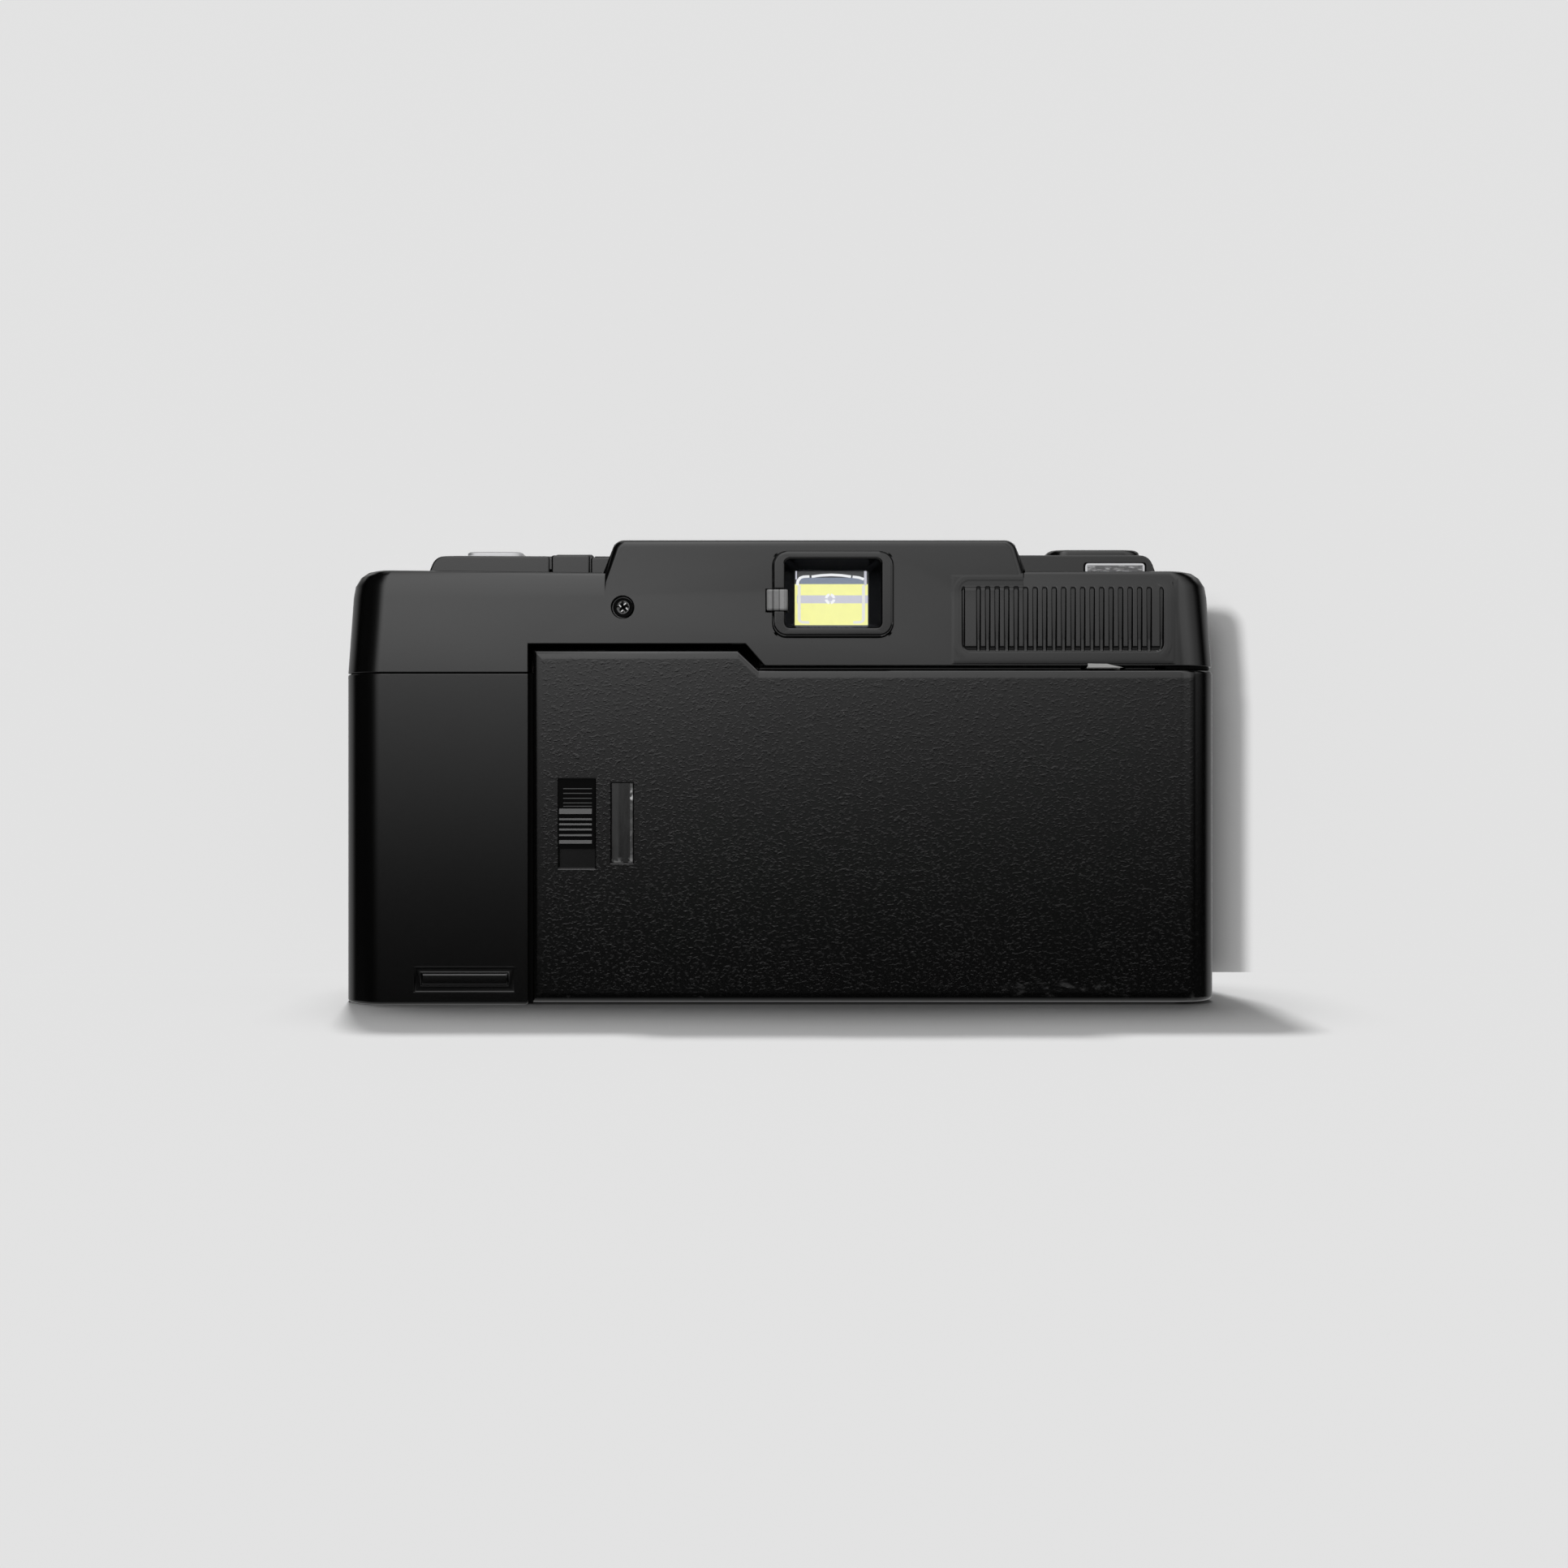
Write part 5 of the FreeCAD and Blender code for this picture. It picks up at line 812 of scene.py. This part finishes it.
# part of a flat ring: points on the inner circle one way, on the outer one back
def ringPart(mark, start, end, steps=12):
    turns = np.radians(np.linspace(start, end, steps))
    wide = finderView["right"] - finderView["left"]
    high = finderView["ringHeight"]
    around = np.stack([np.cos(turns), np.sin(turns) * wide / high], axis=1)
    outline = np.concatenate([around * mark["inner"], around[::-1] * mark["outer"]])
    return np.asarray(mark["middle"]) + outline[::-1]


# an outline's shares times the view's size, from its lower left corner
def finderPart(name, outline, layer, colour):
    low = np.array([finderView["left"], finderView["bottom"]])
    high = np.array([finderView["right"], finderView["top"]])
    face = finderView["back"] - finderView["step"] * layer
    piece = plate("finder" + name, "camera_body", low + outline * (high - low),
                  face, face + finderView["thick"])
    piece.data.materials.append(finderGlow[colour])
    piece.visible_glossy = False        # the funnel's walls stay dark
    objectOnly.objects.link(piece)


for number, part in enumerate(focusMark["parts"]):
    finderShapes["Focus" + str(number)] = (ringPart(focusMark, *part), 5, "line")
for name, settings in finderShapes.items():
    finderPart(name, *settings)
print("finder view:", len(finderShapes), "parts")


# panel of the thumb rest: on a grid over x and z its depth is the cover's face, sunk by a
# smooth recess, less the bars, each a smooth step up, a flat top and a smooth step down
thumbRest = {
    "left": 27.3,
    "right": 57.8,
    "bottom": 53.05,
    "top": 63.5,
    "corner": 1.3,
    "wall": 0.3,
    "sunk": (0.03, 0.33),   # recess at its top and lower down
    "sinking": (62.3, 62.9),
    "lip": (0.005, -1.3, -1.0, -0.5, -0.2),     # height, where it rises and falls outside
    "barTop": 62.95,
    "barFoot": 53.15,       # where the rounded lower ends of the bars reach the floor
    "footLength": 0.8,
    "headLength": 0.55,
    "proud": 0.045,         # bars over the cover
    "firstBar": (27.62, 29.5),
    "nextBar": 30.0,
    "pitch": 1.4293,
    "barWidth": 0.82,
    "lastBarWidth": 1.35,
    "bars": 20,
    "edge": 0.24,           # width of a bar's rounded sides
    "over": 0.015,          # the panel over the cover, and how far its border sinks into it
    "borderSinks": 0.03,
    # the grid: from, to and step along x, single rows and then rows from, to, step along z
    "columns": (25.3, 60.0, 0.06),
    "rows": ([51.08, 51.16, 51.26, 51.36, 51.9, 52.5],
             (52.9, 54.2, 0.09), (54.4, 61.9, 0.75), (62.2, 64.9, 0.09)),
}

# back of the top cover: a straight lean up to the crown, then a quarter ellipse; the hump
# stays upright
cover = {"back": -25.0, "foot": 50.0, "crown": 61.6, "lean": 0.2, "round": (1.2, 3.4),
         "humpRight": 36.6}


def coverFace(x, z):
    lean = cover["lean"] * share(z, cover["foot"], cover["crown"])
    deep, high = cover["round"]
    rise = share(z, cover["crown"], cover["crown"] + high)
    curve = lean + deep * (1 - np.sqrt(1 - rise * rise))
    upright = np.minimum(curve, cover["lean"])
    return cover["back"] + np.where(x < cover["humpRight"], upright, curve)


# 0 at start, 1 at end, level at both: the share squared times three less twice the share
def smooth(value, start, end):
    part = share(value, start, end)
    return part * part * (3 - 2 * part)


# distance inside a rounded rectangle: the corner's radius less the distance from the
# rectangle of the corners' middles
def insideDistance(x, z, rest):
    corner = rest["corner"]
    outX = np.abs(x - (rest["left"] + rest["right"]) / 2) - (rest["right"] - rest["left"]) / 2
    outZ = np.abs(z - (rest["bottom"] + rest["top"]) / 2) - (rest["top"] - rest["bottom"]) / 2
    outX, outZ = outX + corner, outZ + corner
    beyond = np.hypot(np.maximum(outX, 0), np.maximum(outZ, 0))
    return corner - beyond - np.minimum(np.maximum(outX, outZ), 0)


# 1 on the bars and 0 between them, rounded at their sides, feet and heads
def thumbBars(x, z, rest):
    starts = rest["nextBar"] + rest["pitch"] * np.arange(rest["bars"] - 1)
    ends = starts + rest["barWidth"]
    ends[-1] = starts[-1] + rest["lastBarWidth"]
    first, last = rest["firstBar"]
    edge = rest["edge"]
    bars = np.zeros_like(x)
    for start, end in zip([first, *starts], [last, *ends]):
        bars = np.maximum(bars, smooth(x, start, start + edge) * (1 - smooth(x, end, end + edge)))
    foot = share(z, rest["barFoot"], rest["barFoot"] + rest["footLength"])
    head = 1 - share(z, rest["barTop"] - rest["headLength"], rest["barTop"])
    return bars * np.sin(np.pi / 2 * foot) * np.sin(np.pi / 2 * head)


def thumbRestSurface(rest):
    rows, *spans = rest["rows"]
    up = np.concatenate([rows] + [np.arange(*span) for span in spans])
    across = np.arange(*rest["columns"])
    x, z = np.meshgrid(across, up)
    inside = insideDistance(x, z, rest)
    least, most = rest["sunk"]
    least = np.where(x < cover["humpRight"], 0.0, least)
    sunk = most - (most - least) * smooth(z, *rest["sinking"])
    bars = thumbBars(x, z, rest)
    height, rise, full, fall, end = rest["lip"]
    lip = height * smooth(inside, rise, full) * (1 - smooth(inside, fall, end))
    # near its own border, nearer along z than along x, the panel sinks into the cover
    border = np.minimum(np.minimum(x - across[0], across[-1] - x), (up[-1] - z) * 2)
    border = np.minimum(border, (z - up[0]) * 4)
    y = coverFace(x, z) - rest["over"] + rest["borderSinks"] * (1 - smooth(border, 0, 1)) - lip
    y += smooth(inside, 0, rest["wall"]) * (sunk * (1 - bars) - rest["proud"] * bars)
    return np.stack([x, y, z], axis=-1)


grid = thumbRestSurface(thumbRest)
panel = skin("thumbRestBars", "camera_body", grid, closed=False, smooth=60)
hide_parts("thumb_rest")
dress(panel, "fine_black")
print("thumb rest:", grid.shape)


# corners of a polygon rounded: each gives way to an arc between its two sides, a Bezier
# curve of second degree through the corner
def rounded(points, radius, steps=6):
    points = np.asarray(points, float)
    radius = np.broadcast_to(radius, len(points))[:, None]
    before = np.roll(points, 1, axis=0) - points
    after = np.roll(points, -1, axis=0) - points
    start = points + before / np.linalg.norm(before, axis=1, keepdims=True) * radius
    end = points + after / np.linalg.norm(after, axis=1, keepdims=True) * radius
    part = np.linspace(0, 1, steps)[None, :, None]
    curve = ((1 - part) ** 2 * start[:, None] + 2 * part * (1 - part) * points[:, None]
             + part ** 2 * end[:, None])
    return curve.reshape(-1, 2)


# rear faces of the two set-back platforms of the top cover, and of the key between them
platforms = {
    "rear": -20.72,
    "deep": 0.9,
    "edge": 0.3,
    "left": ([(-53.9, 64.7), (-35.12, 64.7), (-35.12, 67.97), (-49.5, 68.03), (-52.6, 67.95)],
             [0.4, 0.4, 0.5, 1.2, 1.4]),
    "middle": ([(-28.9, 64.7), (-25.4, 64.7), (-25.4, 67.8), (-28.9, 67.75)], 0.4),
    "right": ([(35.5, 64.7), (57.6, 64.7), (56.3, 68.12), (35.5, 68.12)], [0.4, 0.4, 1.5, 0.4]),
    "key": (rectangle(-34.9, 64.7, -29.0, 68.12), 0.4),
    "keyBehind": 0.02,
    "keyDeep": 0.3,
}
for side in ("left", "middle", "right"):
    dress(block(side + "PlatformFace", "camera_body", rounded(*platforms[side]), platforms["rear"],
                platforms["deep"], platforms["edge"]), "fine_black")
keyFace = block("flashSwitchFace", bodyOf["flash_switch"], rounded(*platforms["key"]),
                platforms["rear"] + platforms["keyBehind"], platforms["keyDeep"], platforms["edge"])
dress(keyFace, slotOf["flash_switch"])

# counter window: a clear bar in a dark frame, with painted highlights: its edges bright and bright
# stripes inside
counterWindow = {
    "left": 46.55,
    "right": 55.6,
    "bottom": 65.0,
    "top": 66.85,
    "corner": 0.55,
    "border": 0.28,         # of the frame at the sides; above it is thinner by this share
    "aboveShare": 0.6,
    "frameDepths": (-0.02, 0.2),
    "pane": (-0.12, 0.3, 0.06),         # face, depth and rounding
    "rim": (0.21, 0.42, 0.62),          # from where to where it fades, its light
    "wave": (mm / 0.9, 2.0, 0.5, (1, 1, 9)),
    "glintStripes": (0.5, 0.66, 0.34),       # from where to where a wave is a stripe, its light
    "least": 0.1,
    "white": (1.0, 1.0, 1.02, 1),
    "rough": 0.18,
}


def counterPaneFinish(window):
    finish = Finish("counterPane")
    x, y, z = finish.across()
    fade, full, rimHighlight = window["rim"]
    edge = (x - window["left"]).low(window["right"] - x).low(window["top"] - z)
    start, end, stripeGlint = window["glintStripes"]
    glintStripes = finish.noise(*window["wave"]).ramp(start, end) * stripeGlint
    # painted highlights: a bright rim along the sides and top, and bright stripes
    bright = ((1 - edge.ramp(fade, full)) * rimHighlight).high(glintStripes) + window["least"]
    colour = finish.shade(bright.low(1.0), window["white"])
    return finish.set(Base_Color=colour, Roughness=window["rough"])


def counterPane(window):
    left, right, low, top = (window[side] for side in ("left", "right", "bottom", "top"))
    border, corner = window["border"], window["corner"]
    above = top + border * window["aboveShare"]
    outline = rounded(rectangle(left - border, low, right + border, above), corner)
    depths = [platforms["rear"] + depth for depth in window["frameDepths"]]
    dress(plate("counterWindowFrame", "camera_body", outline, *depths), "inner_black")
    outline = rounded(rectangle(left, low, right, top), corner)
    face, *size = window["pane"]
    pane = block("counterWindowPane", "camera_body", outline, platforms["rear"] + face, *size)
    dress(pane, "clear_window").data.materials[0] = counterPaneFinish(window)


counterPane(counterWindow)
print("platforms")

# ready lamp beside the eyepiece: clear moulding with a painted highlight, a brighter band, and
# painted shade, darker lines between its lenses
readyLamp = {
    "tone": 0.2,
    "wave": (0.5 * mm, 0.06),
    "paintedHighlight": (0.3, 0.2, 0.35, 0.1),     # middle, reach and light
    "lines": ((-1.05, 0.16), (-0.12, 0.06)),
    "lineEnds": (0.6, 1.4),                 # shares of a line's half width
    "lineLight": 0.28,
    "full": 0.8,
    "rough": 0.22,
}


def readyLampFinish(lamp):
    finish = Finish("readyLamp")
    x, y, z = finish.across()
    size, strength = lamp["wave"]
    tone = finish.noise(size) * strength + lamp["tone"]
    *reach, light = lamp["paintedHighlight"]
    # painted highlight: a brighter band across the moulding
    tone = tone + x.near(*reach) * light
    first, last = lamp["lineEnds"]
    # painted shade: darker lines between the lenses
    for middle, half in lamp["lines"]:
        beside = abs(x - middle).ramp(half * first, half * last)
        tone = tone * (beside * (1 - lamp["lineLight"]) + lamp["lineLight"])
    return finish.set(Base_Color=finish.shade(tone * lamp["full"]), Roughness=lamp["rough"])


pieces["flash_ready_lamp"].data.materials[0] = readyLampFinish(readyLamp)

# film window in the door: dark, with lighter bands, and painted highlights: a bright edge on the
# right with glints near its top, and a bright lower end
filmWindow = {
    "dark": 0.001,
    "streaks": (0.7 * mm, 3.0, 0.6, (1, 1, 0.2)),
    "streakLight": 0.03,
    "left": (-25.3, -25.05, -24.5, -24.1, 0.016),   # where it rises and falls, its light
    "edge": (-22.62, -22.5, 0.045),
    "glintSpots": (0.75 * mm, 0.46, 0.62),
    "glint": (31.6, 0.66, 1.1, 0.55),
    "leastGlint": 0.06,
    "foot": (21.6, 22.3, 0.12),
    "rough": 0.16,
}


def filmWindowFinish(window):
    finish = Finish("filmWindow")
    x, y, z = finish.across()
    streaks = finish.noise(*window["streaks"]) * window["streakLight"]
    rise, full, fall, end, light = window["left"]
    tone = x.ramp(rise, full) * (1 - x.ramp(fall, end)) * light + streaks + window["dark"]
    size, start, end = window["glintSpots"]
    glintSpots = finish.noise(size).ramp(start, end)
    *reach, white = window["glint"]
    glint = z.near(*reach) * white + window["leastGlint"]
    # painted highlight along the right edge, with painted glints near its top
    start, end, light = window["edge"]
    tone = tone + x.ramp(start, end) * (light + glintSpots * glint)
    # painted highlight at the lower end
    start, end, light = window["foot"]
    tone = tone + (1 - z.ramp(start, end)) * glintSpots * light
    return finish.set(Base_Color=finish.shade(tone), Roughness=window["rough"])


pieces["door_window"].data.materials[0] = filmWindowFinish(filmWindow)

# grip of the door latch: ridges whose faces look a little up, so that they catch the light, and
# whose black is painted lighter; thin lines above them; and a dark plate that paints the shade in
# the slot
latchGrip = {
    "left": -33.2,
    "right": -28.3,
    "back": -24.5,
    "ridges": ((29.1, 0.80), (27.9, 0.28), (27.14, 0.28), (26.36, 0.28), (25.5, 0.28),
               (24.5, 0.52)),       # middle and height
    "face": -25.12,
    "tilt": 7.0,                    # degrees
    "lines": (29.85, 30.35, 31.05, 31.8, 32.5),
    "lineHeight": 0.12,
    "lineLeft": -32.6,
    "lineFace": -25.02,
    "lineTilt": 3.0,
    "shade": (-33.38, 23.45, -27.82, 33.98),
    "shadeDepths": (-24.97, -24.94),
    # a lighter copy of the black plastic: painted light on the ridges
    "finish": {"base": 0.03, "rough": 0.2, "depth": 0.001 * mm},
}


# a profile over y and z carried straight along x: a foot, a face that leans back by its
# height times the tilt's tangent, and the way back
def ridge(name, middle, height, left, right, face, back, tilt):
    low, high = middle - height / 2, middle + height / 2
    lean = height * math.tan(math.radians(tilt))
    profile = [(back, low), (face, low), (face + lean, high), (back, high)]
    rings = np.array([[(x, y, z) for y, z in profile] for x in (left, right)])
    return dress(skin(name, "door_latch", rings, caps=(True, True), smooth=20), "satin_black")


ridgeLitBlack = plastic("latchLitBlack", **latchGrip["finish"])
for number, (middle, height) in enumerate(latchGrip["ridges"]):
    piece = ridge("latchRidge" + str(number), middle, height, latchGrip["left"],
                  latchGrip["right"], latchGrip["face"], latchGrip["back"], latchGrip["tilt"])
    piece.data.materials[0] = ridgeLitBlack
for number, middle in enumerate(latchGrip["lines"]):
    ridge("latchLine" + str(number), middle, latchGrip["lineHeight"], latchGrip["lineLeft"],
          latchGrip["right"], latchGrip["lineFace"], latchGrip["back"], latchGrip["lineTilt"])
# a dark plate in the slot behind the ridges: painted shade
dress(plate("latchShade", bodyOf["door_panel"], rectangle(*latchGrip["shade"]),
            *latchGrip["shadeDepths"]), "inner_black")
print("latch")

# bright tip of the counter's reset lever in the seam
leverTip = {
    "outline": [(46.3, 50.72), (51.6, 50.72), (49.9, 51.1), (49.2, 51.28), (46.3, 51.32)],
    "depths": (-25.06, -24.9),
    "finish": ((0.42, 0.42, 0.41), 0.35, 0.4, 0.02),
}
tip = dress(plate("resetLeverTip", bodyOf["counter_reset_lever"], leverTip["outline"],
                  *leverTip["depths"]), "plated")
tip.data.materials[0] = plain("leverTip", *leverTip["finish"])

# dark strips inside the seams, so that no light passes through the body: plan outline over
# x and y, rounding of its corners, lower and upper level
seamStrips = {
    "leftSeam": (rectangle(-65.6, -24.7, -38.2, 12.0), [5.9, 0.3, 0.3, 0.3], 49.7, 50.05),
    "rightSeam": (rectangle(58.0, -24.4, 65.7, 10.0), [0.3, 6.0, 0.3, 0.3], 50.6, 50.95),
    "buttonWell": (rectangle(39.4, -20.0, 53.0, -6.0), 5.6, 66.0, 66.4),
    "doorSide": (rectangle(-38.1, -23.6, -37.3, -22.9), 0.1, 0.05, 50.0),
}


# a plan outline carried straight up, its upper edge rounded by quarter circles
def slab(name, body, outline, low, high, edge=0.0, steps=7):
    turns = np.linspace(0, math.pi / 2, steps) if edge else [math.pi / 2]
    levels = [low] + [high - edge * (1 - math.sin(a)) for a in turns]
    insets = [0.0] + [edge * (1 - math.cos(a)) for a in turns]
    rings = np.stack([np.column_stack([drawnIn(outline, inset), np.full(len(outline), level)])
                      for inset, level in zip(insets, levels)])
    return skin(name, body, rings, caps=(True, True), smooth=50)


for name, (points, rounding, low, high) in seamStrips.items():
    dress(slab(name, "camera_body", rounded(points, rounding), low, high), "inner_black")

# heads of the two buttons: plan outline, corners, lower and upper level, upper edge
buttonHeads = {
    "shutter_button": (rectangle(41.0, -19.9, 55.35, -6.1), 3.0, 68.0, 69.07, 0.75),
    "timer_button": (rectangle(-48.35, -17.6, -39.75, -8.4), 1.8, 67.9, 69.0, 0.35),
}
for name, (points, corner, low, high, edge) in buttonHeads.items():
    head = slab(name + "Head", bodyOf[name], rounded(points, corner), low, high, edge)
    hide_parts(name)
    dress(head, slotOf[name])
print("button heads")

# screw beside the finder: a dark ring round it that paints the shade of its recess, dark plates
# that paint the shade in its cross slot, and strips of steel that paint glints on its rims
screw = {
    "middle": (-23.55, 59.78),
    "face": -24.86,
    # radius and depth behind the face, round the ring's section
    "ring": ((1.04, 0.25), (1.42, 0.1), (1.42, 0.0), (1.04, 0.02), (1.04, 0.25)),
    "steps": 48,
    "turn": 38.0,               # degrees
    "slot": (1.5, 0.36),        # length and width
    "slotDepths": (0.06, 0.2),
    "glint": 0.17,              # its width, and where it begins, bends and ends on the slot
    "glintPlaces": (0.35, 0.65, 0.9),
    "glintAside": 0.75,
    "glintDepths": (0.05, 0.2),
}


def screwParts(screw):
    turns = np.linspace(0, 2 * math.pi, screw["steps"] + 1)[:-1]
    circle = np.stack([np.cos(turns), np.sin(turns)], axis=1)
    middle, face = np.array(screw["middle"]), screw["face"]
    # painted shade: a dark ring for the recess round the head
    dress(stacked("screwShadeRing", "camera_body", [middle + circle * r for r, deep in screw["ring"]],
                  [face + deep for r, deep in screw["ring"]]), "inner_black")
    length, width = screw["slot"]
    slotDepths = [face + deep for deep in screw["slotDepths"]]
    glintDepths = [face + deep for deep in screw["glintDepths"]]
    for number in range(2):
        angle = math.radians(screw["turn"] + 90 * number)
        along = np.array([math.cos(angle), math.sin(angle)]) * length / 2
        aside = np.array([-along[1], along[0]]) / length * 2
        outline = strip([middle - along, middle, middle + along], width)
        # painted shade in the cross slot
        dress(plate("screwSlotShade" + str(number), "camera_body", outline, *slotDepths),
              "inner_black")
        for side in (-1, 1):
            # painted glints beside the slot
            beside = middle + side * aside * width * screw["glintAside"]
            outline = strip([beside + side * along * place for place in screw["glintPlaces"]],
                            screw["glint"])
            name = "screwGlint" + str(number) + "ab"[side > 0]
            dress(plate(name, "camera_body", outline, *glintDepths), "steel")


screwParts(screw)
print("screw")
